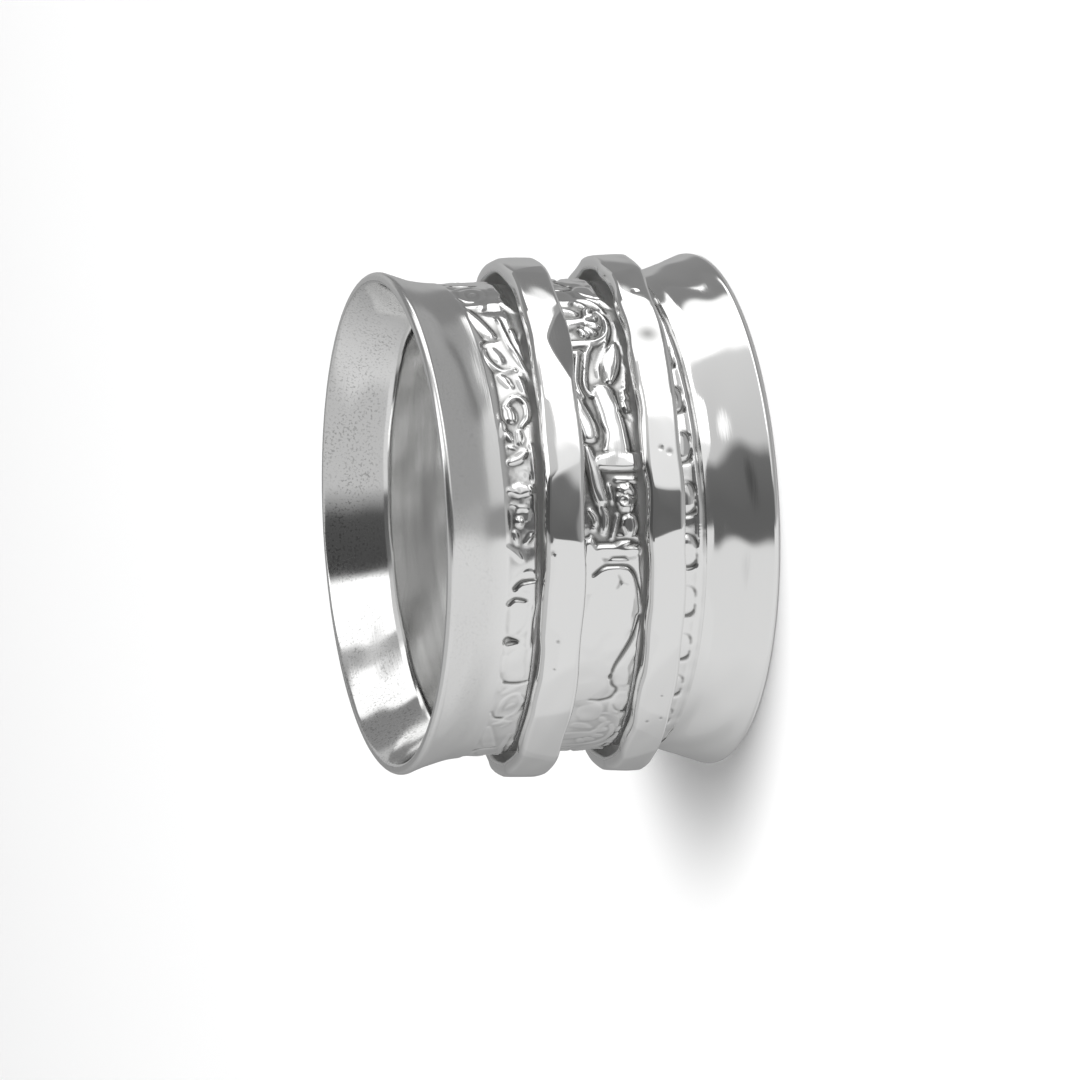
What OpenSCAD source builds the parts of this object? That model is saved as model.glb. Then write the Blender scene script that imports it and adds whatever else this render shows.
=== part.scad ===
// Spinner ring: a wide silver band that flares at both ends, with a raised
// scroll and flower pattern between its plain borders, and two hammered hoops
// that turn freely round it, held on by the flares.
// The ring lies on its side: the band's axis is Z, and its larger flare is at the bottom.

/* [Finger hole] */
// Inner diameter of the band
finger_d = 18.2; // [15:0.1:22]

/* [Band] */
// Width of the band along the finger
band_w = 14.35; // [13.6:0.05:16]
// Wall of the plain borders, from the finger to the narrowest outside
band_wall = 1.18; // [1:0.02:1.5]
// Thickness of the rounded lip at each end
lip_t = 0.5; // [0.4:0.02:0.6]
// How far the lower lip stands out from the band's neck
lower_flare_rise = 0.89; // [0.7:0.01:1.1]
// How far the upper lip stands out from the band's neck
upper_flare_rise = 0.57; // [0.5:0.01:0.8]
// Slope of the flares, in degrees from the band's axis
flare_slope = 20; // [18:1:24]
// Height of the lower inside flare, from the lip to the straight finger hole
lower_bell_h = 2.9; // [2.4:0.1:3.4]
// Height of the upper inside flare, from the lip to the straight finger hole
upper_bell_h = 2.6; // [2.2:0.1:3]
// Radius of the soft bend between the neck and the lower flare
lower_bend_r = 3; // [2:0.5:4]
// Radius of the soft bend between the neck and the upper flare
upper_bend_r = 6; // [4:0.5:7]

/* [Pattern] */
// Height of the raised pattern over its sunk ground
relief_h = 0.18; // [0.12:0.01:0.22]
// Plain border below the pattern
lower_border_h = 2.95; // [2.8:0.05:3.2]
// Plain border above the pattern
upper_border_h = 2.62; // [2.4:0.02:2.8]
// Width of the round rail along the pattern's lower edge
rail_w = 0.34; // [0.24:0.02:0.36]
// Spacing of the scallops along the lower rail
scallop_pitch = 2.2; // [1.8:0.1:3]
// Spacing of the curls in the upper row
curl_pitch = 3.5; // [3.2:0.1:5]
// Repeats of the flower, vine and leaf round the middle row
vine_repeats = 3; // [2:1:3]
// Height of the middle row, with the flower, vine and broad leaf
vine_row_h = 2.36; // [2.2:0.02:2.5]
// Height of the upper row, with its curls
curl_row_h = 1.28; // [1.1:0.02:1.4]
// From the middle row to the leaf rows above and below it
leaf_row_gap = 2.18; // [2.1:0.02:2.25]
// Spacing of the leaves in those two rows
leaf_pitch = 2.4; // [2.2:0.1:3]

/* [Hoops] */
// Thickness of the hoops at their middle
hoop_t = 0.66; // [0.6:0.02:0.8]
// Running gap between the pattern's crests and the hoops
hoop_gap = 0.36; // [0.32:0.01:0.44]
// Width of the upper hoop
upper_hoop_w = 1.9; // [1.7:0.05:2.1]
// Width of the lower hoop
lower_hoop_w = 1.76; // [1.6:0.02:2]
// How far the upper hoop leans from the band's axis, in degrees
upper_lean = 5.3; // [4:0.1:5.5]
// How far the lower hoop leans from the band's axis, in degrees
lower_lean = 5; // [4:0.1:5.5]
// Gap between the leaning lower hoop and the lower flare
flare_gap = 0.05; // [0.04:0.01:0.1]
// From the middle of the lower hoop to the middle of the upper one
hoop_spacing = 4.38; // [4.2:0.02:4.5]
// Radius of the hoops' domed outside, across their width
hoop_dome_r = 3; // [2.4:0.1:4]
// Radius of the hoops' worn outer edges
hoop_edge_r = 0.2; // [0.1:0.02:0.25]
// Hammer marks round each hoop
hammer_marks = 24; // [20:4:28]
// Depth of an average hammer mark
hammer_depth = 0.07; // [0.04:0.01:0.09]
// Depth of the waves in the hoops' side edges
edge_wave = 0.06; // [0.03:0.01:0.08]

/* [Hidden] */
round_fn = 96;
small_fn = 32;
past = 1;

// What each bow of the vine holds, once round a repeat: a broad leaf takes two
VINE_CELLS = ["flower", "curl", "curl", "leaf", "curl", "berries", "broad leaf", "", "curl", "leaf"];
// Angle of the first flower
VINE_START = -34;
// Share of its cell that a bow spans, so that neighbours stay just apart
bow_span = 0.88;
// How unevenly the hammer fell: shares of a mark's spacing and depth, and degrees
mark_shift = 0.16;
mark_spread = 0.35;
mark_tilt = 5;
mark_skew = 3;
edge_tilt = 1.3;
// Angles round the band at which the leaning hoops are lowest
UPPER_LEAN_TURN = 69;
LOWER_LEAN_TURN = 81;

finger_r = finger_d / 2;
neck_r = finger_r + band_wall;
ground_r = neck_r - relief_h;
lip_r = lip_t / 2;
// The lips are rubbed flat on a narrow ring where they touch the table
lip_flat = 0.12 * lip_r;
lower_rim_r = neck_r + lower_flare_rise;
upper_rim_r = neck_r + upper_flare_rise;

pattern_z0 = lower_border_h;
pattern_z1 = band_w - upper_border_h;
rail_z = pattern_z0 + rail_w;
hoop_bore_r = neck_r + hoop_gap;
hoop_out_r = hoop_bore_r + hoop_t;
middle_z = (pattern_z0 + pattern_z1) / 2;
curl_row_z = pattern_z1 - curl_row_h / 2;

// Straight line from the lip's round to the neck, where the flare runs out
function flare_h(rise) =
    lip_r - lip_flat + (lip_r + (rise - lip_r) * cos(flare_slope)) / sin(flare_slope);

// Height of the lower hoop's middle: its lowest edge leans against the flare
lean_edge_r = hoop_bore_r * cos(lower_lean) - lower_hoop_w / 2 * sin(lower_lean);
lean_edge_z = flare_h(lower_flare_rise) - (lean_edge_r - flare_gap - neck_r) / tan(flare_slope);
lower_hoop_z = lean_edge_z + lower_hoop_w / 2 * cos(lower_lean) + hoop_bore_r * sin(lower_lean);
upper_hoop_z = lower_hoop_z + hoop_spacing;

// Centre of the round lip in the profile plane, counted from its own end
function lip_centre(rim_r) = [rim_r - lip_r, lip_r - lip_flat];

// A profile point p of one end, placed at that end of the band
function at_end(end, p) = end == "lower" ? p : [p[0], band_w - p[1]];

// One end of the band's outside: a straight flare tangent to the round lip,
// and a soft bend where it meets the neck
module flare_outside(end, rim_r, bend_r) {
    lip = lip_centre(rim_r);
    foot_z = flare_h(rim_r - neck_r);
    bend_l = bend_r * tan(flare_slope / 2);
    root_r = neck_r - lip_t;
    translate(at_end(end, lip)) circle(lip_r, $fn = small_fn);
    polygon([for (p = [
        [root_r, 0],
        [lip[0], 0],
        lip + lip_r * [cos(flare_slope), sin(flare_slope)],
        [neck_r, foot_z],
        [root_r, foot_z]
    ]) at_end(end, p)]);
    difference() {
        polygon([for (p = [
            [root_r, foot_z],
            [neck_r, foot_z] + bend_l * [sin(flare_slope), -cos(flare_slope)],
            [neck_r, foot_z + bend_l],
            [root_r, foot_z + bend_l]
        ]) at_end(end, p)]);
        translate(at_end(end, [neck_r + bend_r, foot_z + bend_l])) circle(bend_r, $fn = round_fn);
    }
}

// One end of the band's inside: the bell that opens from the straight finger
// hole, on a slope tangent to the round lip
module flare_inside(end, rim_r, bell_h) {
    lip = lip_centre(rim_r);
    crease = [finger_r, bell_h];
    slope = atan2(lip[0] - crease[0], crease[1] - lip[1]) - asin(lip_r / norm(lip - crease));
    difference() {
        polygon([for (p = [
            [0, -past],
            [lip[0], -past],
            lip,
            lip - lip_r * [cos(slope), sin(slope)],
            crease,
            [0, bell_h]
        ]) at_end(end, p)]);
        translate(at_end(end, lip)) circle(lip_r, $fn = small_fn);
    }
}

// Outside of the band, with the sunk ground that the pattern stands on and a
// raised rail at the ground's lower edge
module band_section() {
    difference() {
        intersection() {
            square([lower_rim_r + upper_rim_r, band_w]);
            union() {
                square([neck_r, band_w]);
                flare_outside("lower", lower_rim_r, lower_bend_r);
                flare_outside("upper", upper_rim_r, upper_bend_r);
            }
        }
        difference() {
            translate([ground_r, pattern_z0]) square([lip_t, pattern_z1 - pattern_z0]);
            translate([ground_r, rail_z]) circle(rail_w / 2, $fn = small_fn);
        }
    }
}

// The child's plane touches the ground at one angle and height: its Z points
// out from the band, its X down and its Y round the band
module on_band(angle, z) {
    rotate([0, 0, angle]) translate([ground_r, 0, z]) rotate([0, 90, 0]) children();
}

// A flat outline, raised over the ground and rooted in it
module raised() {
    translate([0, 0, -relief_h]) linear_extrude(2 * relief_h) children();
}

// A low dome of radius half_w, whose crest reaches the height of the pattern
module dome(half_w, h = relief_h) {
    ball_r = (half_w * half_w + h * h) / (2 * h);
    translate([0, 0, h - ball_r]) sphere(ball_r, $fn = small_fn);
}

// Half a ring of wire round the point [x, 0], on one side of the X axis
module half_ring(x, r, wire, side) {
    reach = r + wire;
    difference() {
        translate([x, 0]) circle(r + wire / 2, $fn = small_fn);
        translate([x, 0]) circle(r - wire / 2, $fn = small_fn);
        translate([x - reach, side > 0 ? -reach : 0]) square([2 * reach, reach]);
    }
}

// A spiral of three half rings that tighten to a bead
module curl(r, wire) {
    r2 = r * 0.74;
    r3 = r * 0.48;
    raised() union() {
        half_ring(0, r, wire, 1);
        half_ring(r2 - r, r2, wire, -1);
        half_ring(2 * r2 - r - r3, r3, wire, 1);
        translate([2 * r2 - r - 2 * r3, -wire * 0.3]) circle(wire * 0.8, $fn = small_fn);
    }
}

// Outline of a leaf between two arcs
module leaf_outline(length, width) {
    side_r = (length * length + width * width) / (4 * width);
    intersection() {
        translate([0, side_r - width / 2]) circle(side_r, $fn = round_fn);
        translate([0, width / 2 - side_r]) circle(side_r, $fn = round_fn);
    }
}

module leaf(length, width) {
    raised() leaf_outline(length, width);
}

// An oval middle with a ring of petals
module flower(r) {
    petals = 9;
    for (i = [0 : petals - 1])
        rotate([0, 0, i * 360 / petals]) translate([r * 0.7, 0, 0]) dome(r * 0.22, relief_h * 0.8);
    dome(r * 0.42);
}

// Three berries on one side of the vine
module berries(r) {
    for (angle = [-100, 0, 100])
        rotate([0, 0, angle]) translate([r * 0.55, 0, 0]) dome(r * 0.4, relief_h * 0.9);
}

// A broad leaf, rounded to the band, with a sunk midrib
module broad_leaf(angle, z, length, width) {
    intersection() {
        on_band(angle, z) rotate([0, 0, 90]) raised() difference() {
            leaf_outline(length, width);
            translate([-length * 0.3, -width * 0.05]) square([length * 0.6, width * 0.1]);
        }
        cylinder(h = band_w, r = neck_r, $fn = round_fn);
    }
}

// Angle round the band that spans a length on the pattern's ground
function turn(length) = length / ground_r * 180 / PI;

// Lower row: half round scallops that stand on the rail
module scallop_row() {
    count = round(360 / turn(scallop_pitch));
    for (i = [0 : count - 1])
        on_band(i * 360 / count, rail_z + rail_w / 2) dome(scallop_pitch * 0.3);
}

// Upper row: curls and leaves by turns
module curl_row() {
    count = round(360 / turn(curl_pitch));
    for (i = [0 : count - 1]) {
        on_band(i * 360 / count, curl_row_z) curl(curl_row_h * 0.32, curl_row_h * 0.16);
        on_band((i + 0.5) * 360 / count, curl_row_z) rotate([0, 0, 60])
            leaf(curl_row_h * 0.9, curl_row_h * 0.4);
    }
}

// Leaves that the hoops partly cover, slanting up and down by turns
module leaf_row(z) {
    count = 2 * round(180 / turn(leaf_pitch));
    for (i = [0 : count - 1])
        on_band(i * 360 / count, z) rotate([0, 0, 90 + (i % 2 == 0 ? 28 : -28)])
            leaf(leaf_pitch * 0.6, leaf_pitch * 0.24);
}

// Middle row: a running vine of half rings that bow up and down by turns,
// each round a flower, a curl, a leaf or berries, with a broad leaf between
module vine_row() {
    cells = len(VINE_CELLS) * vine_repeats;
    cell_turn = 360 / cells;
    bow_r = bow_span * ground_r * sin(cell_turn / 2);
    wire = bow_r * 0.15;
    for (i = [0 : cells - 1]) {
        kind = VINE_CELLS[i % len(VINE_CELLS)];
        angle = VINE_START - i * cell_turn;
        side = i % 2 == 0 ? 1 : -1;
        if (kind == "broad leaf")
            broad_leaf(angle - cell_turn / 2, middle_z, bow_r * 3.2, vine_row_h * 0.7);
        else if (kind != "") {
            on_band(angle, middle_z) rotate([0, 0, 90]) raised() half_ring(0, bow_r, wire, side);
            on_band(angle, middle_z + side * bow_r * 0.3) {
                if (kind == "flower") flower(bow_r * 0.62);
                if (kind == "curl") rotate([0, 0, 40 * side]) curl(bow_r * 0.4, wire);
                if (kind == "leaf") rotate([0, 0, 90 + 25 * side]) leaf(bow_r * 1.3, bow_r * 0.5);
                if (kind == "berries") rotate([0, 0, 90 * side]) berries(bow_r * 0.5);
            }
        }
    }
}

module band() {
    color("silver") difference() {
        union() {
            rotate_extrude($fn = round_fn) band_section();
            scallop_row();
            curl_row();
            vine_row();
            leaf_row(middle_z - leaf_row_gap);
            leaf_row(middle_z + leaf_row_gap);
        }
        translate([0, 0, -past]) cylinder(h = band_w + 2 * past, r = finger_r, $fn = round_fn);
        rotate_extrude($fn = round_fn) flare_inside("lower", lower_rim_r, lower_bell_h);
        rotate_extrude($fn = round_fn) flare_inside("upper", upper_rim_r, upper_bell_h);
    }
}

// Section of a hoop with its lower edge at z = 0: a flat bore, rounded outer
// edges and a dome across the width
module hoop_section(w) {
    translate([hoop_bore_r, 0]) square([hoop_t / 2, w]);
    intersection() {
        union() {
            translate([hoop_bore_r, hoop_edge_r]) square([hoop_t, w - 2 * hoop_edge_r]);
            translate([hoop_bore_r, 0]) square([hoop_t - hoop_edge_r, w]);
            for (z = [hoop_edge_r, w - hoop_edge_r])
                translate([hoop_out_r - hoop_edge_r, z]) circle(hoop_edge_r, $fn = small_fn);
        }
        translate([hoop_out_r - hoop_dome_r, w / 2]) circle(hoop_dome_r, $fn = round_fn);
    }
}

// An uneven but fixed share from -1 to 1 for mark i, one series for each use
function uneven(i, series) = sin(i * (61 + 23 * series));

// Flat hammer marks round the outside and along both side edges, uneven in
// depth and tilt
module hoop(w, start) {
    mark_turn = 360 / hammer_marks;
    block = 4 * hoop_t;
    difference() {
        rotate_extrude($fn = round_fn) hoop_section(w);
        for (i = [0 : hammer_marks - 1])
            rotate([0, 0, start + (i + mark_shift * uneven(i, 1)) * mark_turn])
                translate([hoop_out_r - hammer_depth * (1 + mark_spread * uneven(i, 2)), 0, w / 2])
                    rotate([0, mark_tilt * uneven(i, 3), mark_skew * uneven(i, 4)])
                        translate([0, -block, -w]) cube([block, 2 * block, 2 * w]);
        for (i = [0 : hammer_marks - 1]) {
            upper_edge = i % 2 == 0;
            rotate([0, 0, start + (i + mark_shift * uneven(i, 5)) * mark_turn])
                translate([hoop_bore_r - block / 2, 0, upper_edge ? w - edge_wave : edge_wave])
                    rotate([edge_tilt * (i % 4 < 2 ? 1 : -1), 0, 0])
                        translate([0, -block, upper_edge ? 0 : -block]) cube([2 * block, 2 * block, block]);
        }
    }
}

// Sets a hoop round the band with its middle at height z, leaning down at one
// side as a loose hoop does
module leaning(z, w, lean, lean_turn) {
    translate([0, 0, z]) rotate([0, 0, lean_turn]) rotate([0, lean, 0]) rotate([0, 0, -lean_turn])
        translate([0, 0, -w / 2]) children();
}

module upper_hoop() {
    color("gainsboro") leaning(upper_hoop_z, upper_hoop_w, upper_lean, UPPER_LEAN_TURN)
        hoop(upper_hoop_w, 0);
}

module lower_hoop() {
    color("lightgray") leaning(lower_hoop_z, lower_hoop_w, lower_lean, LOWER_LEAN_TURN)
        hoop(lower_hoop_w, 180 / hammer_marks);
}

band();
upper_hoop();
lower_hoop();
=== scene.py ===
"""Looks of the spinner ring: a flared silver band with a raised scroll pattern, and two hammered hoops.

The band's axis is Z and its larger flare lies on the floor. Lengths are in millimetres, and become
metres when a mesh is made.
"""

import logging
import math
from dataclasses import dataclass, field
from enum import Enum
from typing import ClassVar

import bpy
import numpy as np
from mathutils import Matrix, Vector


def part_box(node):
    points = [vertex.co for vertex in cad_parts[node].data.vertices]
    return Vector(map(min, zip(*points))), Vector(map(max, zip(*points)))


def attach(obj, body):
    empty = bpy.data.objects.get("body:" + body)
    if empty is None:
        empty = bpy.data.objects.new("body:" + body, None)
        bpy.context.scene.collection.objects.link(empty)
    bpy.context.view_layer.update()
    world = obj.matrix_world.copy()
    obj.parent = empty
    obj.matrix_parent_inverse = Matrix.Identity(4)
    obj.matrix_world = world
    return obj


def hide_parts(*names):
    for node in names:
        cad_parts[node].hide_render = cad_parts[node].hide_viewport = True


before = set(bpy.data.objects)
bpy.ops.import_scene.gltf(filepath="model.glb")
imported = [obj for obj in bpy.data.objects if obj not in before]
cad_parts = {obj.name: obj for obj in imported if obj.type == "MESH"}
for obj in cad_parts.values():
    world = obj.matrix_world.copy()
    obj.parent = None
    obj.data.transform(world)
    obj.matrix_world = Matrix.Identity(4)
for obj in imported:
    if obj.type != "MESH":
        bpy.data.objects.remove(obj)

MM = 0.001
FULL_TURN = 2 * math.pi
LOG = logging.getLogger("spinner_ring")
Levels = tuple[tuple[float, float], ...]

# Height of the raised pattern, and about the length once round the ring
RELIEF_H = 0.18
ROUND_L = 60.0


class Body(Enum):
    """Bodies of the frame that a piece can ride on."""

    BAND = "band"
    UPPER_HOOP = "upper_hoop"
    LOWER_HOOP = "lower_hoop"


class Slot(Enum):
    """Material slots of the record."""

    BAND_SILVER = "band_silver"
    HOOP_SILVER = "hoop_silver"


def corners(node: str) -> tuple[np.ndarray, np.ndarray]:
    """Lowest and highest corner of a node of the frame.

    Args:
        node: Name of the node.

    Returns:
        Two points in millimetres.
    """
    low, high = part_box(node)
    return np.array(low) / MM, np.array(high) / MM


@dataclass(frozen=True)
class RingSizes:
    """Sizes of the ring, in millimetres and degrees.

    They are those of the solids, but for the hoops' dome and edges. Hammering has left these flatter
    and rounder here than on the solids, which have a dome radius of 3 and an edge radius of 0.2.
    """

    finger_r: float = 9.1
    band_wall: float = 1.18
    lip_t: float = 0.5
    lip_flat_share: float = 0.12
    flare_slope: float = 20.0
    lower_bell_h: float = 2.9
    upper_bell_h: float = 2.6
    lower_bend_r: float = 3.0
    upper_bend_r: float = 6.0
    relief_h: float = RELIEF_H
    lower_border_h: float = 2.95
    upper_border_h: float = 2.62
    hoop_t: float = 0.66
    hoop_gap: float = 0.36
    hoop_dome_r: float = 9.0
    hoop_edge_r: float = 0.3
    upper_hoop_w: float = 1.9
    lower_hoop_w: float = 1.76
    upper_lean: float = 5.3
    lower_lean: float = 5.0
    upper_lean_turn: float = 69.0
    lower_lean_turn: float = 81.0
    flare_gap: float = 0.05
    hoop_spacing: float = 4.38
    lower_flare_rise: float = 0.89
    upper_flare_rise: float = 0.57
    band_w: float = field(default_factory=lambda: float(corners("band")[1][2]))

    @property
    def neck_r(self) -> float:
        """Outer radius of the band between its flares."""
        return self.finger_r + self.band_wall

    @property
    def ground_r(self) -> float:
        """Radius of the sunk ground that the pattern stands on."""
        return self.neck_r - self.relief_h

    @property
    def lower_rim_r(self) -> float:
        """Outer radius of the lower lip."""
        return self.neck_r + self.lower_flare_rise

    @property
    def upper_rim_r(self) -> float:
        """Outer radius of the upper lip."""
        return self.neck_r + self.upper_flare_rise

    @property
    def hoop_bore_r(self) -> float:
        """Inner radius of the hoops."""
        return self.neck_r + self.hoop_gap

    @property
    def hoop_out_r(self) -> float:
        """Outer radius of the hoops."""
        return self.hoop_bore_r + self.hoop_t

    @property
    def lower_hoop_z(self) -> float:
        """Height of the lower hoop's middle, where its lowest edge leans against the flare.

        The edge's height on the straight flare is the height at which the flare meets the neck, less
        the edge's distance out from the neck divided by the tangent of the slope.

        Returns:
            Height in millimetres.
        """
        lean, half = math.radians(self.lower_lean), self.lower_hoop_w / 2
        edge_r = self.hoop_bore_r * math.cos(lean) - half * math.sin(lean)
        drop = (edge_r - self.flare_gap - self.neck_r) / math.tan(math.radians(self.flare_slope))
        edge_z = self.flare_h(self.lower_flare_rise) - drop
        return edge_z + half * math.cos(lean) + self.hoop_bore_r * math.sin(lean)

    @property
    def upper_hoop_z(self) -> float:
        """Height of the upper hoop's middle."""
        return self.lower_hoop_z + self.hoop_spacing

    def flare_h(self, rise: float) -> float:
        """Height, from its own end, at which a flare's straight slope meets the neck.

        Args:
            rise: How far the lip stands out from the neck.

        Returns:
            Height in millimetres.
        """
        lip_r, slope = self.lip_t / 2, math.radians(self.flare_slope)
        run = lip_r + (rise - lip_r) * math.cos(slope)
        return lip_r * (1 - self.lip_flat_share) + run / math.sin(slope)

    @property
    def pattern_z(self) -> tuple[float, float]:
        """Lower and upper edge of the patterned strip."""
        return self.lower_border_h, self.band_w - self.upper_border_h


def arc_points(centre: tuple[float, float], radius: float, start: float, end: float,
               count: int) -> np.ndarray:
    """Points on an arc in the profile plane: centre plus radius times the unit vector at each angle.

    Args:
        centre: Radius and height of the arc's centre.
        radius: Radius of the arc.
        start: First angle, in degrees from the outward direction.
        end: Last angle.
        count: Number of points.

    Returns:
        Array of count rows with a radius and a height.
    """
    a = np.radians(np.linspace(start, end, count))
    return np.column_stack([centre[0] + radius * np.cos(a), centre[1] + radius * np.sin(a)])


def line_points(start: tuple[float, float], end: tuple[float, float], count: int) -> np.ndarray:
    """Evenly spaced points from start up to, but without, end.

    Args:
        start: Radius and height of the first point.
        end: Radius and height that the line runs to.
        count: Number of points.

    Returns:
        Array of count rows with a radius and a height.
    """
    t = np.linspace(0, 1, count, endpoint=False)[:, None]
    return np.array(start) + t * (np.array(end) - np.array(start))


def fade(values: np.ndarray, start: float | np.ndarray, end: float | np.ndarray) -> np.ndarray:
    """Share that runs from 0 at the start to 1 at the end and stays level beyond them.

    Args:
        values: Numbers that the share depends on.
        start: Value at which the share is 0. It may be larger than the end.
        end: Value at which the share is 1.

    Returns:
        Shares from 0 to 1.
    """
    return np.clip((values - start) / (end - start), 0, 1)


def whole_turn(columns: int) -> np.ndarray:
    """Angles in radians, evenly spaced once round the ring."""
    return np.arange(columns) / columns * FULL_TURN


def angle_from(turns: np.ndarray, middle: float | np.ndarray) -> np.ndarray:
    """Angle from a middle, the short way round.

    Args:
        turns: Angles in radians.
        middle: Angle that counts as 0, or several of them.

    Returns:
        Angles between minus and plus half a turn.
    """
    return (turns - middle + np.pi) % FULL_TURN - np.pi


@dataclass(frozen=True)
class Lean:
    """A tilt of a piece from the band's axis, low at one side, and the height of its middle."""

    degrees: float = 0.0
    low_side: float = 0.0
    height: float = 0.0

    def placed(self, points: np.ndarray) -> np.ndarray:
        """Turns points round the origin towards the low side and lifts them to the height.

        Args:
            points: Array of points in millimetres.

        Returns:
            The placed points.
        """
        tilt = Matrix.Rotation(math.radians(self.degrees), 3, "Y")
        side = Matrix.Rotation(math.radians(self.low_side), 3, "Z")
        return points @ np.array(side @ tilt @ side.transposed()).T + [0, 0, self.height]


def sharpen(mesh: bpy.types.Mesh, columns: int, rows: tuple[int, ...]) -> None:
    """Breaks the surface's shading along whole rows of points.

    Args:
        mesh: Mesh whose points are kept row by row.
        columns: Number of points in a row.
        rows: Rows along which the shading is broken.
    """
    ends = np.empty(len(mesh.edges) * 2, np.int32)
    mesh.edges.foreach_get("vertices", ends)
    row_of = ends.reshape(-1, 2) // columns
    sharp = (row_of[:, 0] == row_of[:, 1]) & np.isin(row_of[:, 0], rows)
    layer = mesh.attributes.new("sharp_edge", "BOOLEAN", "EDGE")
    layer.data.foreach_set("value", sharp)


def turned_mesh(name: str, radius: np.ndarray, height: np.ndarray, turn: np.ndarray,
                marks: dict[str, np.ndarray], lean: Lean = Lean(),
                sharp_rows: tuple[int, ...] = ()) -> bpy.types.Object:
    """Closed surface turned round Z and joined both ways.

    Each point is (radius times cos turn, radius times sin turn, height), which the lean then places.
    The profile runs outwards at the bottom, up the outside and down the inside, so faces point outwards.

    Args:
        name: Name of the piece.
        radius: Radii, one row for each profile point and one column for each turn.
        height: Heights of the same shape.
        turn: Angle of each column in radians, or an array of the same shape.
        marks: Values for each point, kept as attributes that materials read.
        lean: Tilt and height of the whole piece.
        sharp_rows: Rows along which the surface's shading is broken.

    Returns:
        The object, at the origin.
    """
    turns = np.broadcast_to(turn, radius.shape)
    points = np.stack([radius * np.cos(turns), radius * np.sin(turns), height], axis=-1)
    points = lean.placed(points) * MM
    rows, columns = radius.shape
    i, j = np.meshgrid(np.arange(rows), np.arange(columns), indexing="ij")
    i2, j2 = (i + 1) % rows, (j + 1) % columns
    quads = np.stack([i * columns + j, i * columns + j2, i2 * columns + j2, i2 * columns + j], axis=-1)
    mesh = bpy.data.meshes.new(name)
    mesh.vertices.add(rows * columns)
    mesh.vertices.foreach_set("co", points.astype(np.float32).ravel())
    mesh.loops.add(quads.size)
    mesh.loops.foreach_set("vertex_index", quads.astype(np.int32).ravel())
    mesh.polygons.add(rows * columns)
    mesh.polygons.foreach_set("loop_start", np.arange(rows * columns, dtype=np.int32) * 4)
    mesh.polygons.foreach_set("use_smooth", np.ones(rows * columns, bool))
    for key, values in marks.items():
        layer = mesh.attributes.new(key, "FLOAT", "POINT")
        layer.data.foreach_set("value", np.broadcast_to(values, radius.shape).astype(np.float32).ravel())
    mesh.update(calc_edges=True)
    mesh.validate()
    if sharp_rows:
        sharpen(mesh, columns, sharp_rows)
    piece = bpy.data.objects.new(name, mesh)
    bpy.context.scene.collection.objects.link(piece)
    return piece


def dress(piece: bpy.types.Object, finish: bpy.types.Material, body: Body) -> None:
    """Gives a piece its material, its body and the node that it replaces.

    Args:
        piece: Object of the visual model.
        finish: Material of the whole piece.
        body: Body that the piece rides on. Its only node has the same name.
    """
    piece.data.materials.append(finish)
    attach(piece, body.value)
    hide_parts(body.value)


@dataclass(frozen=True)
class Ripples:
    """Smooth uneven field on the ring, mostly from -1 to 1.

    It is a sum of cosine waves, each with a whole number of lobes round the ring, a length along the
    axis from half to twice the given one, a direction and a phase, all drawn at random. Squeeze is how
    many times closer the waves stand along the axis, or 0 for waves that run only round the ring.
    """

    waves: int
    length: float
    seed: int
    squeeze: float = 1.0

    def at(self, turns: np.ndarray, heights: np.ndarray) -> np.ndarray:
        """Value of the field at each point.

        Args:
            turns: Angles in radians.
            heights: Heights in millimetres.

        Returns:
            Values, in the shape that angles and heights have together.
        """
        draw = np.random.default_rng(self.seed)
        total = np.zeros(np.broadcast_shapes(turns.shape, heights.shape))
        for _ in range(self.waves):
            lobes = draw.integers(1, max(2, int(ROUND_L / self.length)))
            pace = FULL_TURN / (self.length * draw.uniform(0.5, 2.0))
            climb = draw.choice([-1, 1]) * pace * (self.squeeze * heights)
            total += np.cos(lobes * turns + climb + draw.uniform(0, FULL_TURN))
        return total / math.sqrt(self.waves)


def soften(values: np.ndarray, times: int) -> np.ndarray:
    """Blurs a grid by weights 1, 2, 1 along both sides; the turn's side is joined end to end.

    Args:
        values: Grid with rows along the axis and columns round the ring.
        times: How often the weights are applied.

    Returns:
        The blurred grid.
    """
    for _ in range(times):
        values = (np.roll(values, 1, axis=1) + 2 * values + np.roll(values, -1, axis=1)) / 4
        padded = np.pad(values, ((1, 1), (0, 0)), mode="edge")
        values = (padded[:-2] + 2 * values + padded[2:]) / 4
    return values


@dataclass(frozen=True)
class Strip:
    """The patterned strip laid flat, as a grid with rows along the axis and columns round the ring.

    The arrays are the place of each column along the turn, the height of each row, and for each point
    the height of the ground and a rough noise. The radius is that at which the strip is laid flat.
    """

    x: np.ndarray
    z: np.ndarray
    ground: np.ndarray
    noise: np.ndarray
    radius: float


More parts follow.
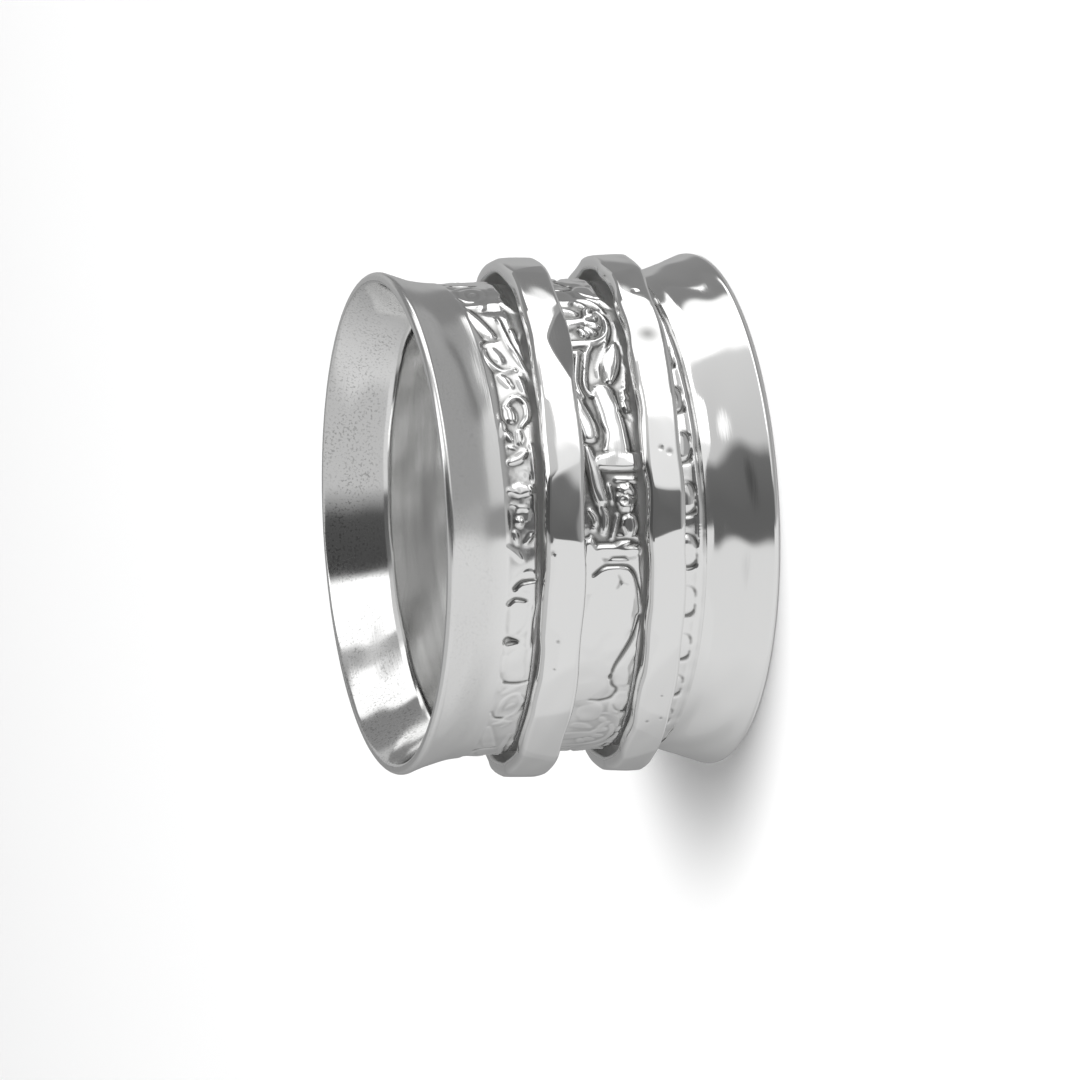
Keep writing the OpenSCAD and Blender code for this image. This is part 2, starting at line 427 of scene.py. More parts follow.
@dataclass(frozen=True)
class Stroke:
    """A form of the pattern that follows a path.

    The path is a row of points, each a turn in degrees, counted upwards in the photograph from the
    camera's side, and a height in millimetres. The widths are half widths at its start, middle and end.
    Across the path the form is height times (1 - (distance / half width) ** blunt) ** rounding. Beads
    are the length of one bead, and grain is the height of a rough skin. A negative height cuts a groove.
    """

    path: tuple[float, ...]
    widths: tuple[float, float, float]
    height: float = 0.16
    blunt: float = 2.0
    beads: float = 0.0
    grain: float = 0.0
    SPAN_STEPS: ClassVar[int] = 5
    ROUNDING: ClassVar[float] = 0.8
    BEAD_DEPTH: ClassVar[float] = 0.25
    THINNEST: ClassVar[float] = 0.01
    MARGIN: ClassVar[float] = 1.2

    def curve(self, radius: float) -> np.ndarray:
        """Smooth curve through the path's points, laid flat: a cubic curve in even steps.

        Args:
            radius: Radius at which the pattern is laid flat.

        Returns:
            Points in millimetres, along the turn and along the axis.
        """
        points = np.array(self.path, float).reshape(-1, 2)
        points[:, 0] = -np.radians(points[:, 0]) * radius
        if len(points) == 2:
            return points
        ends = np.vstack([2 * points[0] - points[1], points, 2 * points[-1] - points[-2]])
        t = np.linspace(0, 1, self.SPAN_STEPS, endpoint=False)[:, None]
        a, b, c, d = (ends[k:len(ends) - 3 + k, None] for k in range(4))
        bent = b + t * (c - a) / 2 + t ** 2 * (a - 2.5 * b + 2 * c - d / 2)
        bent = bent + t ** 3 * (1.5 * (b - c) + (d - a) / 2)
        return np.vstack([bent.reshape(-1, 2), points[-1:]])

    def carve(self, heights: np.ndarray, strip: Strip, shift: float) -> None:
        """Adds the form to a height field that runs once round the ring.

        Only the part of the field near the form is worked on. A raised form stands on the ground, lower
        where the ground is high, and is joined by the higher of the two heights. A groove is taken off.

        Args:
            heights: Heights of the strip's points, changed in place.
            strip: The strip laid flat.
            shift: Turn by which the form is moved round the ring, in degrees.
        """
        curve = self.curve(strip.radius)
        curve[:, 0] -= math.radians(shift) * strip.radius
        around = FULL_TURN * strip.radius
        centre = (curve[:, 0].min() + curve[:, 0].max()) / 2
        wide = max(self.widths) * self.MARGIN
        x = (strip.x - centre + around / 2) % around - around / 2 + centre
        columns = np.flatnonzero(np.abs(x - centre) < np.ptp(curve[:, 0]) / 2 + wide)
        z = strip.z
        rows = np.flatnonzero((z > curve[:, 1].min() - wide) & (z < curve[:, 1].max() + wide))
        if not len(rows) or not len(columns):
            return
        part = np.ix_(rows, columns)
        form = self.value(x[columns][None, :], z[rows][:, None], curve, strip.noise[part])
        if self.height > 0:
            ground = strip.ground[part]
            raised = ground + form * (1 - ground / RELIEF_H)
            heights[part] = np.where(form > 0, np.maximum(heights[part], raised), heights[part])
        else:
            heights[part] += form

    def value(self, x: np.ndarray, z: np.ndarray, curve: np.ndarray, noise: np.ndarray) -> np.ndarray:
        """Height of the form at each point of a grid, from the nearest point of its middle line.

        Args:
            x: Places along the turn in millimetres.
            z: Places along the axis.
            curve: Points of the form's middle line.
            noise: Rough grid for grainy forms.

        Returns:
            Heights on the grid, 0 outside the form.
        """
        start, step = curve[:-1], np.diff(curve, axis=0)
        reach = (step ** 2).sum(axis=1)
        off_x, off_z = x[..., None] - start[:, 0], z[..., None] - start[:, 1]
        share = np.clip((off_x * step[:, 0] + off_z * step[:, 1]) / reach, 0, 1)
        gap = (off_x - share * step[:, 0]) ** 2 + (off_z - share * step[:, 1]) ** 2
        near = gap.argmin(axis=-1)[..., None]
        lengths = np.sqrt(reach)
        walked = np.concatenate([[0], np.cumsum(lengths)[:-1]])
        along = (walked[near] + np.take_along_axis(share, near, -1) * lengths[near])[..., 0]
        t = along / lengths.sum()
        first, middle, last = self.widths
        width = first * (1 - t) * (1 - 2 * t) + 4 * middle * t * (1 - t) + last * t * (2 * t - 1)
        far = np.sqrt(np.take_along_axis(gap, near, -1)[..., 0]) / np.maximum(width, self.THINNEST)
        form = np.clip(1 - far ** self.blunt, 0, 1) ** self.ROUNDING
        if self.beads:
            wave = np.cos(FULL_TURN * along / self.beads)
            form = form * (1 - self.BEAD_DEPTH + self.BEAD_DEPTH * wave)
        return form * self.height + (form > 0) * self.grain * noise


@dataclass
class Relief:
    """The raised pattern on the sunk strip of the band, made as closed sleeves that meet edge to edge.

    Fields that end in passes say how often the grid is softened, and those that end in h are heights.
    Near and far full are the depths below the softened surroundings at which tarnish and painted shade
    are whole.
    """

    sizes: RingSizes
    groups: tuple[tuple[int, tuple[Stroke, ...]], ...]
    hoops: tuple[tuple[Lean, float], ...]
    columns: int = 1512
    rows: int = 187
    sleeves: int = 4
    seed: int = 5
    grain_passes: int = 3
    lump_passes: int = 90
    edge_passes: int = 3
    near_passes: int = 12
    far_passes: int = 70
    grain_h: float = 0.0012
    lump_h: float = 0.012
    plain_h: float = 0.12
    filled_h: float = 0.148
    filled_turns: tuple[float, ...] = (-176, -168, -133, -125, -92, -80, -13, -5, 60, 64, 107, 115)
    sunk_z: tuple[float, ...] = (4.1, 4.3, 9.7, 10.0)
    sunk_h: tuple[float, ...] = (0.07, 0.0, 0.0, 0.06)
    top_slope_z: tuple[float, float] = (11.22, 11.7)
    groove_floor_h: float = -0.03
    lowest_h: float = -0.035
    near_full: float = 0.04
    far_full: float = 0.05
    # Tarnish and painted shade in hollows and on the sunk ground
    far_tarnish_and_shade: float = 0.6
    ground_tarnish_and_shade: float = 0.22
    cloudy_tarnish_and_shade: float = 0.1
    # Even painted shade beside and under the hoops, and how far the hoops flatten the pattern there
    hoop_shade_level: float = 0.15
    rubbed_share: float = 0.85
    shelter_reach: float = 0.3
    shelter_swing: float = 0.22
    shelter_edge: float = 0.12
    least_rough: float = 0.1
    plain_top_fade: tuple[float, float] = (0.02, 0.42)
    inner_drop: float = 0.1
    overlap: float = 0.05

    def ground(self, turn: np.ndarray, z: np.ndarray) -> np.ndarray:
        """Height of the ground: sunk, but nearly full over about half of each third of the ring.

        Args:
            turn: Turn of each column in radians, counted down the photograph.
            z: Height of each row in millimetres.

        Returns:
            Heights in millimetres, rows along the axis and columns round the ring.
        """
        sunk = np.interp(z, self.sunk_z, self.sunk_h)[:, None]
        angle = (np.degrees(-turn) + 180) % 360 - 180
        filled = np.interp(angle, self.filled_turns, (0, 1, 1, 0) * 3)[None, :]
        filled = filled * filled * (3 - 2 * filled)
        height = sunk + (self.filled_h - sunk) * filled
        return np.maximum(height, np.interp(z, self.top_slope_z, (0.0, self.sizes.relief_h))[:, None])

    def hoop_shelter_shade(self, azimuth: np.ndarray, z: np.ndarray) -> np.ndarray:
        """Share of shelter that the hoops give, which is also painted shade: whole beneath them, fading
        out beside them.

        Args:
            azimuth: Angle of each column in radians.
            z: Height of each row in millimetres.

        Returns:
            Shares from 0 to 1, rows along the axis and columns round the ring.
        """
        share = np.zeros((len(z), len(azimuth)))
        for lean, width in self.hoops:
            slope = math.tan(math.radians(lean.degrees)) * self.sizes.hoop_bore_r
            middle = lean.height - slope * np.cos(azimuth - math.radians(lean.low_side))
            off = z[:, None] - middle[None, :]
            above = self.shelter_reach + self.shelter_swing * np.cos(azimuth)
            reach = np.where(off > 0, above, self.shelter_edge)
            whole = width / 2 - self.shelter_edge
            share = np.maximum(share, fade(np.abs(off), whole + reach, whole))
        return share

    def noises(self, rows: int) -> tuple[np.ndarray, np.ndarray]:
        """Fine grain and broad lumps, both random and of unit spread.

        Args:
            rows: Number of rows of the grid.

        Returns:
            Two grids with rows along the axis and columns round the ring.
        """
        draw = np.random.default_rng(self.seed)
        grain = soften(draw.normal(size=(rows, self.columns)), self.grain_passes)
        lumps = soften(grain, self.lump_passes)
        return grain / grain.std(), lumps / lumps.std()

    def tarnish_and_shade(self, whole: np.ndarray, lumps: np.ndarray, hoop_shelter_shade: np.ndarray) -> np.ndarray:
        """Share of tarnish and painted shade: both gather where a point lies lower than its softened
        surroundings.

        Args:
            whole: Heights of the pattern.
            lumps: Broad noise of unit spread.
            hoop_shelter_shade: Share of the hoops' shelter, where an even painted shade takes the place
                of the pattern's own share.

        Returns:
            Shares from 0 up.
        """
        near = soften(whole, self.near_passes)
        far = soften(near, self.far_passes)
        # Darker in grooves and on the sunk ground: tarnish of the hollows, and painted shade
        share = fade(near - whole, 0, self.near_full)
        share = share + self.far_tarnish_and_shade * fade(far - whole, 0, self.far_full)
        clouds = self.ground_tarnish_and_shade + self.cloudy_tarnish_and_shade * lumps
        share = np.maximum(share, clouds * fade(whole, self.far_full, 0))
        # Beside and under the hoops, an even painted shade takes over
        return np.maximum(share * (1 - hoop_shelter_shade), self.hoop_shade_level * hoop_shelter_shade)

    def field(self, z: np.ndarray) -> tuple[np.ndarray, np.ndarray, np.ndarray]:
        """Carves the whole strip: every group of forms, as often round the ring as it repeats.

        Args:
            z: Height of each row in millimetres.

        Returns:
            Heights above the sunk ground, shares of tarnish and painted shade, and shares of the hoops'
            shelter, which carry painted shade.
        """
        radius = self.sizes.ground_r + self.sizes.relief_h / 2
        grain, lumps = self.noises(len(z))
        azimuth = whole_turn(self.columns)
        x = -(azimuth + math.pi / 2) * radius
        strip = Strip(x, z, self.ground(x / radius, z), grain, radius)
        whole = strip.ground.copy()
        for repeats, forms in self.groups:
            for k in range(repeats):
                for form in forms:
                    form.carve(whole, strip, k * 360 / repeats)
        whole = soften(np.maximum(whole, self.groove_floor_h), self.edge_passes)
        hoop_shelter_shade = self.hoop_shelter_shade(azimuth, z)
        whole = whole * (1 - self.rubbed_share * hoop_shelter_shade)
        tarnish_and_shade_share = self.tarnish_and_shade(whole, lumps, hoop_shelter_shade)
        inside = fade(self.sizes.pattern_z[1] - z, *self.plain_top_fade)[:, None]
        rough = np.clip(1 - whole / self.plain_h, self.least_rough, 1) * (1 - hoop_shelter_shade)
        uneven = rough * self.grain_h * grain + self.lump_h * (lumps - 0.5)
        return whole + inside * uneven, np.clip(tarnish_and_shade_share, 0, 1) * inside, hoop_shelter_shade

    def build(self, finish: bpy.types.Material) -> list[bpy.types.Object]:
        """Builds the sleeves: the pattern outside and a plain wall, hidden in the band's metal, inside.

        Args:
            finish: Material of the sleeves.

        Returns:
            The sleeves, from the lowest to the highest.
        """
        low, high = self.sizes.pattern_z
        z = np.linspace(low - self.overlap, high + self.overlap, self.rows)
        heights, tarnish_and_shade_share, hoop_shade = self.field(z)
        turn = whole_turn(self.columns)
        outer_r = self.sizes.ground_r + np.clip(heights, self.lowest_h, self.sizes.relief_h)
        inner_r = np.full((2, self.columns), self.sizes.ground_r - self.inner_drop)
        hidden = np.ones((2, self.columns))
        cuts = np.linspace(0, self.rows - 1, self.sleeves + 1).astype(int)
        pieces = []
        for letter, first, last in zip("abcdefgh", cuts[:-1], cuts[1:] + 1):
            radius = np.vstack([outer_r[first:last], inner_r])
            rows_z = np.concatenate([z[first:last], z[[last - 1, first]]])
            height = np.repeat(rows_z[:, None], self.columns, axis=1)
            # Tarnish and painted shade of the pattern, and the painted shade beside and under the hoops
            marks = {
                "tarnish_and_shade_share": np.vstack([tarnish_and_shade_share[first:last], hidden]),
                "satin_and_shade": np.vstack([hoop_shade[first:last], hidden]),
            }
            seams = (0, last - first - 1)
            piece = turned_mesh("band_pattern_" + letter, radius, height, turn, marks, sharp_rows=seams)
            dress(piece, finish, Body.BAND)
            pieces.append(piece)
        return pieces


def strokes(*rows: tuple) -> tuple[Stroke, ...]:
    """Forms of the pattern from rows that hold their values in the order of Stroke's fields."""
    return tuple(Stroke(*row) for row in rows)


def leaf_rows(pitch: float = 360 / 26, slant: float = 0.34) -> tuple[Stroke, ...]:
    """Two leaves of each row that the hoops partly cover, one slanting up and one down.

    Args:
        pitch: Degrees from one leaf to the next.
        slant: Half of the height that a leaf rises in millimetres.

    Returns:
        Forms for the turn of two leaves: a groove round each leaf, the leaf and its middle groove.
    """
    rows = []
    for z in (5.16, 9.52):
        for place, rise in ((0.0, slant), (pitch, -slant)):
            path = (86.4 + place, z - rise, 93.6 + place, z + rise)
            rows += [(path, (0.1, 0.33, 0.1), -0.05, 3), (path, (0.05, 0.27, 0.05), 0.17),
                     (path, (0.02, 0.035, 0.02), -0.05)]
    return strokes(*rows)


# Flower between the hoops: its petals by root, tip and half width, then its middle, buds and frame
PETALS = (
    (56.8, 6.42, 59.4, 6.2, 0.17), (55.2, 6.56, 55.9, 6.22, 0.23), (53.0, 6.52, 52.2, 6.26, 0.23),
    (51.2, 6.72, 49.7, 6.5, 0.21), (50.6, 7.0, 48.8, 6.86, 0.16),
)
FLOWER = strokes(*((row[:4], (row[4] * 0.7, row[4], row[4]), 0.178, 7) for row in PETALS)) + strokes(
    ((59.6, 7.6, 58.9, 7.24, 57.6, 6.88), (0.24, 0.26, 0.1), 0.17, 3),
    ((53.4, 7.9, 53.4, 7.3, 53.6, 6.94, 53.9, 6.66), (0.4, 0.4, 0.26), 0.18, 6),
    ((62.5, 6.57, 60.3, 6.32), (0.06, 0.15, 0.08), 0.165),
    ((63.6, 7.4, 64.3, 6.4, 61.4, 5.76, 57.5, 5.6), (0.06, 0.07, 0.05), 0.13),
    ((58.2, 5.93, 54.3, 5.72, 48.8, 5.9, 46.1, 6.42, 45.6, 7.02, 45.6, 8.1),
     (0.08, 0.17, 0.26), 0.17, 4),
    ((42.4, 8.0, 42.7, 7.25), (0.17, 0.15, 0.08), 0.17, 3),
)

# Vine and leaves below the flower
VINE = strokes(
    ((46.4, 6.45, 44.6, 6.78, 41.9, 7.08, 36.2, 7.38, 32.2, 7.5, 29.5, 7.3), (0.06, 0.07, 0.1), 0.16),
    ((43.4, 7.3, 41.4, 7.5, 36.3, 7.76, 32.8, 7.86, 29.5, 7.75), (0.06, 0.09, 0.12), 0.15),
    ((47.9, 5.85, 42.2, 6.37, 37.9, 6.72, 35.0, 6.8), (0.05, 0.12, 0.06), 0.12, 2, 0.17),
    ((54.0, 5.3, 49.6, 5.44, 46.0, 5.62), (0.05, 0.07, 0.05), 0.15),
    ((46.0, 5.66, 41.2, 5.98, 37.5, 6.2, 33.8, 6.4), (0.03, 0.38, 0.2), 0.18, 4),
    ((53.0, 5.3, 46.1, 5.34, 41.9, 5.4), (0.03, 0.07, 0.08), 0.16),
    ((40.6, 5.5, 35.5, 5.6, 31.0, 5.75), (0.08, 0.12, 0.1), 0.08, 3, 0, 0.02),
)

# Lobes between the hoops, from the cup down to the broad leaf
MIDDLE_LOBES = strokes(
    ((31.4, 8.05, 26.4, 7.95, 22.4, 7.78, 19.6, 7.7), (0.08, 0.36, 0.38), 0.172, 3.5),
    ((30.2, 6.8, 23.0, 6.62, 16.0, 6.6), (0.5, 0.5, 0.6), 0.16, 5),
    ((24.6, 7.38, 22.2, 7.18, 19.4, 7.02, 16.2, 7.16), (0.03, 0.09, 0.05), -0.1),
    ((30.5, 5.9, 25.6, 5.9), (0.12, 0.2, 0.14), 0.12, 4, 0, 0.02),
    ((25.2, 6.3, 24.2, 6.02, 23.0, 5.75), (0.03, 0.05, 0.06), -0.12),
    ((12.7, 5.8, 12.7, 7.3), (0.4, 0.4, 0.34), 0.175, 8),
    ((15.8, 7.9, 11.0, 7.72, 7.2, 7.6, 3.6, 7.46), (0.2, 0.33, 0.28), 0.18, 3),
    ((10.4, 8.2, 7.0, 8.22, 3.4, 8.36), (0.03, 0.07, 0.04), 0.16),
    ((8.4, 6.75, 8.0, 5.9), (0.1, 0.12, 0.1), 0.05, 4),
    ((7.4, 7.1, 2.8, 7.0), (0.04, 0.06, 0.04), 0.15),
    ((5.6, 6.4, 2.0, 6.4), (0.34, 0.42, 0.3), 0.13, 6, 0, 0.03),
    ((2.4, 7.5, -0.4, 7.38, -4.2, 7.42), (0.12, 0.2, 0.12), 0.13, 3),
    ((1.2, 7.98, -0.5, 7.78, -2.2, 7.76), (0.07, 0.11, 0.08), 0.17),
    ((-3.0, 7.86, -3.4, 7.86), (0.07, 0.07, 0.07), 0.15),
    ((-5.0, 7.98, -5.4, 7.98), (0.06, 0.06, 0.06), 0.15),
    ((-6.6, 8.2, -7.0, 8.2), (0.06, 0.06, 0.06), 0.15),
    ((-1.6, 6.3, -4.0, 6.3), (0.3, 0.34, 0.26), 0.17, 7),
    ((0.1, 6.78, -3.1, 6.98, -5.8, 7.09), (0.03, 0.05, 0.04), 0.15),
    ((-5.2, 6.8, -5.6, 5.9), (0.06, 0.08, 0.07), 0.1, 2, 0.15),
    ((-7.4, 6.95, -6.6, 6.3), (0.08, 0.13, 0.06), 0.15),
)

# Broad leaf between the hoops, and the lobes round it
BROAD_LEAF = strokes(
    ((-7.0, 8.1, -11.0, 7.95, -16.0, 8.0), (0.3, 0.5, 0.5), 0.17, 5),
    ((-8.6, 7.6, -8.8, 6.0), (0.3, 0.28, 0.2), 0.165, 5),
    ((-10.9, 7.15, -11.2, 6.5), (0.08, 0.1, 0.08), 0.17, 4),
    ((-16.5, 7.05, -22.0, 7.1, -30.0, 7.3, -40.0, 7.5, -47.0, 7.6), (0.95, 1.1, 0.9), 0.172, 6),
    ((-9.9, 7.15, -9.9, 6.5), (0.03, 0.05, 0.04), -0.08),
    ((-14.0, 7.95, -12.2, 7.5, -11.9, 6.9, -12.6, 6.3, -15.6, 5.98, -22.0, 5.7),
     (0.06, 0.08, 0.1), -0.12),
    ((-14.0, 6.84, -15.9, 6.71, -17.8, 6.88), (0.02, 0.06, 0.02), -0.06),
    ((-16.0, 6.72, -16.8, 6.32), (0.05, 0.04, 0.02), -0.05),
    ((-28.5, 6.1, -31.5, 6.3), (0.03, 0.04, 0.02), -0.04),
    ((-34.0, 5.75, -39.1, 6.22, -44.0, 6.05), (0.1, 0.3, 0.26), 0.165, 4),
    ((-25.0, 5.78, -30.3, 5.97, -35.6, 6.37, -39.0, 6.62, -42.5, 6.7), (0.14, 0.09, 0.04), -0.12),
    ((-41.5, 6.71, -44.8, 6.52, -46.5, 6.28, -49.2, 6.41, -50.2, 6.83, -49.6, 7.4),
     (0.04, 0.07, 0.05), -0.07),
    ((-49.5, 5.95, -54.0, 6.0), (0.4, 0.45, 0.4), 0.16, 5),
    ((-54.0, 7.2, -56.0, 7.1), (0.6, 0.6, 0.5), 0.15, 5),
    ((-52.0, 6.25, -54.4, 6.0, -56.0, 5.5), (0.03, 0.06, 0.06), -0.06),
)

# Cup and leaves beside the upper hoop
CUP = strokes(
    ((61.0, 11.5, 55.0, 11.3, 49.5, 10.95), (0.1, 0.3, 0.22), 0.17, 3),
    ((62.8, 11.1, 63.6, 10.9, 62.2, 10.7, 60.8, 10.9), (0.07, 0.08, 0.05), 0.16),
    ((56.7, 10.36, 50.0, 10.35, 44.5, 10.23, 37.7, 9.9), (0.05, 0.13, 0.07), 0.17),
    ((44.5, 11.11, 41.1, 10.9), (0.2, 0.27, 0.2), 0.09),
    ((45.3, 11.43, 42.3, 11.46, 39.3, 11.27, 37.7, 10.9, 38.1, 10.36), (0.06, 0.12, 0.07), 0.17),
    ((44.6, 11.5, 47.4, 11.34, 48.2, 10.65), (0.04, 0.06, 0.03), -0.1),
    ((36.4, 11.1, 33.0, 10.75), (0.14, 0.2, 0.14), 0.1, 2, 0, 0.02),
    ((35.6, 10.3, 31.5, 10.2), (0.1, 0.14, 0.08), 0.13),
)

# Scroll beside the upper hoop and the small forms below it
SCROLL = strokes(
    ((27.4, 11.2, 29.6, 10.83, 29.8, 10.48, 27.5, 10.22, 24.6, 10.27, 22.1, 10.62),
     (0.07, 0.14, 0.08), 0.17),
    ((26.2, 11.03, 24.4, 11.0), (0.24, 0.27, 0.24), 0.18, 2.5),
    ((20.9, 11.3, 18.8, 11.13), (0.1, 0.16, 0.1), 0.16),
    ((20.9, 10.74, 18.0, 10.81), (0.1, 0.15, 0.1), 0.175),
    ((17.3, 11.3, 16.8, 10.96), (0.06, 0.08, 0.06), 0.13),
    ((13.6, 11.3, 14.4, 10.9, 16.0, 10.55), (0.14, 0.2, 0.12), 0.17, 2.5),
    ((7.0, 11.35, 6.8, 10.65), (0.24, 0.34, 0.26), 0.13, 3, 0, 0.012),
    ((8.7, 11.55, 10.5, 11.23, 11.4, 10.87, 11.3, 10.52, 9.1, 10.4), (0.05, 0.09, 0.06), -0.12),
    ((3.4, 11.35, 1.8, 10.7), (0.12, 0.18, 0.12), 0.08, 2, 0, 0.03),
    ((-0.3, 11.11, -0.9, 11.11), (0.17, 0.17, 0.17), 0.18),
    ((-3.8, 10.57, -5.8, 10.84), (0.05, 0.09, 0.06), 0.15),
    ((-6.5, 11.6, -9.5, 11.1), (0.12, 0.24, 0.14), 0.13, 2.5),
)

# Low forms that fill the ground beside the upper hoop
FILLING = strokes(
    ((19.0, 10.9, 12.0, 11.0, 2.0, 10.95), (0.4, 0.6, 0.5), 0.04, 4, 0, 0.009),
    ((23.5, 11.4, 19.5, 11.5), (0.1, 0.16, 0.1), 0.13),
    ((17.6, 10.3, 12.0, 10.25, 8.0, 10.3), (0.08, 0.14, 0.08), 0.12),
    ((-3.0, 11.3, -5.6, 11.25), (0.12, 0.17, 0.12), 0.12),
    ((-43.0, 10.6, -45.4, 11.3), (0.1, 0.16, 0.1), 0.1),
    ((-40.8, 11.55, -44.4, 11.5), (0.08, 0.14, 0.1), 0.13),
    ((51.8, 10.0, 46.0, 9.95, 41.0, 9.8), (0.06, 0.12, 0.07), 0.13),
)

# Lobes and grooves beside the upper hoop
UPPER_LOBES = strokes(
    ((-14.5, 11.23, -12.9, 10.97, -12.5, 10.63, -13.8, 10.36), (0.05, 0.1, 0.06), 0.16),
    ((-16.4, 11.34, -14.9, 11.05, -14.4, 10.41), (0.08, 0.09, 0.05), -0.13),
    ((-18.6, 11.5, -17.7, 11.25, -18.2, 10.81), (0.05, 0.1, 0.06), 0.15),
    ((-20.2, 11.2, -23.5, 11.05, -27.0, 11.3), (0.3, 0.5, 0.2), 0.165, 2.6),
    ((-21.0, 10.6, -25.5, 10.68, -28.0, 10.9), (0.1, 0.2, 0.1), 0.14),
    ((-20.2, 11.6, -18.9, 11.3, -19.4, 10.76), (0.06, 0.06, 0.03), -0.13),
    ((-21.5, 11.62, -25.5, 11.62, -29.0, 11.45), (0.02, 0.035, 0.03), -0.05),
    ((-19.6, 10.3, -24.0, 10.32, -31.0, 10.36), (0.02, 0.05, 0.02), -0.07),
    ((-18.0, 10.16, -22.4, 10.42, -26.6, 10.52, -32.0, 10.54), (0.04, 0.12, 0.05), 0.17),
    ((-32.2, 10.85, -36.0, 11.1, -40.2, 10.85), (0.2, 0.46, 0.34), 0.16, 2.6),
    ((-34.0, 11.5, -38.5, 11.55), (0.08, 0.12, 0.08), 0.14),
    ((-29.8, 11.46, -30.1, 10.98), (0.24, 0.16, 0.03), -0.18),
    ((-31.0, 11.62, -36.0, 11.68, -40.5, 11.5, -42.2, 11.2), (0.03, 0.035, 0.03), -0.07),
    ((-42.0, 11.4, -42.3, 10.9, -42.0, 10.3), (0.03, 0.045, 0.03), -0.11),
    ((-52.2, 11.6, -55.0, 11.3, -54.6, 10.7, -50.4, 10.3), (0.03, 0.05, 0.05), -0.1),
    ((-54.4, 11.31, -48.2, 11.22, -45.9, 10.72, -48.6, 10.37, -53.2, 10.52, -55.5, 10.97),
     (0.05, 0.1, 0.05), 0.15),
    ((-51.2, 10.96, -49.6, 10.77), (0.1, 0.15, 0.1), 0.14),
    ((-57.6, 11.3, -57.0, 10.6), (0.1, 0.16, 0.08), 0.14),
)

# Scallop and the beaded rail below it, beside the lower hoop
RAIL = strokes(
    ((91.2, 3.78, 88.4, 3.74), (0.5, 0.56, 0.54), -0.12, 3),
    ((91.4, 3.83, 88.9, 3.8), (0.42, 0.46, 0.42), 0.178, 2.4),
    ((96.3, 3.26, 83.7, 3.26), (0.1, 0.1, 0.1), 0.17, 2, 0.146),
)


# Groups of forms in the order of carving, and how often each repeats round the ring
PATTERN = (
    (13, leaf_rows()),
    (3, CUP + SCROLL + FILLING + UPPER_LOBES),
    (3, FLOWER + VINE + MIDDLE_LOBES + BROAD_LEAF),
    (29, RAIL),
)


@dataclass(frozen=True)
class PhotoCamera:
    """Pinhole camera at the photograph's angle to the ring.

    Yaw and roll turn the ring's axis in the picture. The offset is where the ring's middle stands to the
    right of the picture's middle and below it.
    """

    image_px: float = 1080.0
    focal_px: float = 5750.0
    sensor_mm: float = 36.0
    distance_mm: float = 250.0
    offset_mm: tuple[float, float] = (0.087, -1.043)
    yaw: float = 16.0
    roll: float = 2.9
    middle_z: float = 7.175
    clip_m: tuple[float, float] = (0.01, 10.0)

    def axes(self) -> np.ndarray:
        """The ring's axes in the camera's right, down and forward directions.

        Returns:
            Array with the ring's X, Y and Z as columns.
        """
        yaw, roll = math.radians(self.yaw), math.radians(self.roll)
        z = -np.array([math.cos(yaw) * math.cos(roll), -math.cos(yaw) * math.sin(roll), math.sin(yaw)])
        up = np.array([0.0, -1.0, 0.0])
        x = up - (up @ z) * z
        x /= np.linalg.norm(x)
        return np.column_stack([x, np.cross(z, x), z])

    def right_up_back(self) -> np.ndarray:
        """The camera's right, up and backward directions as columns, in the ring's frame."""
        m = self.axes()
        return np.column_stack([m[0], -m[1], -m[2]])

    def build(self) -> bpy.types.Object:
        """Adds the camera to the scene.

        Returns:
            The camera's object.
        """
        m = self.axes()
        centre = np.array([self.offset_mm[0], self.offset_mm[1], self.distance_mm])
        place = np.array([0.0, 0.0, self.middle_z]) - m.T @ centre
        data = bpy.data.cameras.new("photo_camera")
        data.sensor_width = self.sensor_mm
        data.lens = self.focal_px / self.image_px * self.sensor_mm
        data.clip_start, data.clip_end = self.clip_m
        camera = bpy.data.objects.new("photo_camera", data)
        matrix = np.eye(4)
        matrix[:3, :3] = self.right_up_back()
        matrix[:3, 3] = place * MM
        camera.matrix_world = Matrix(matrix.tolist())
        bpy.context.scene.collection.objects.link(camera)
        bpy.context.scene.camera = camera
        return camera


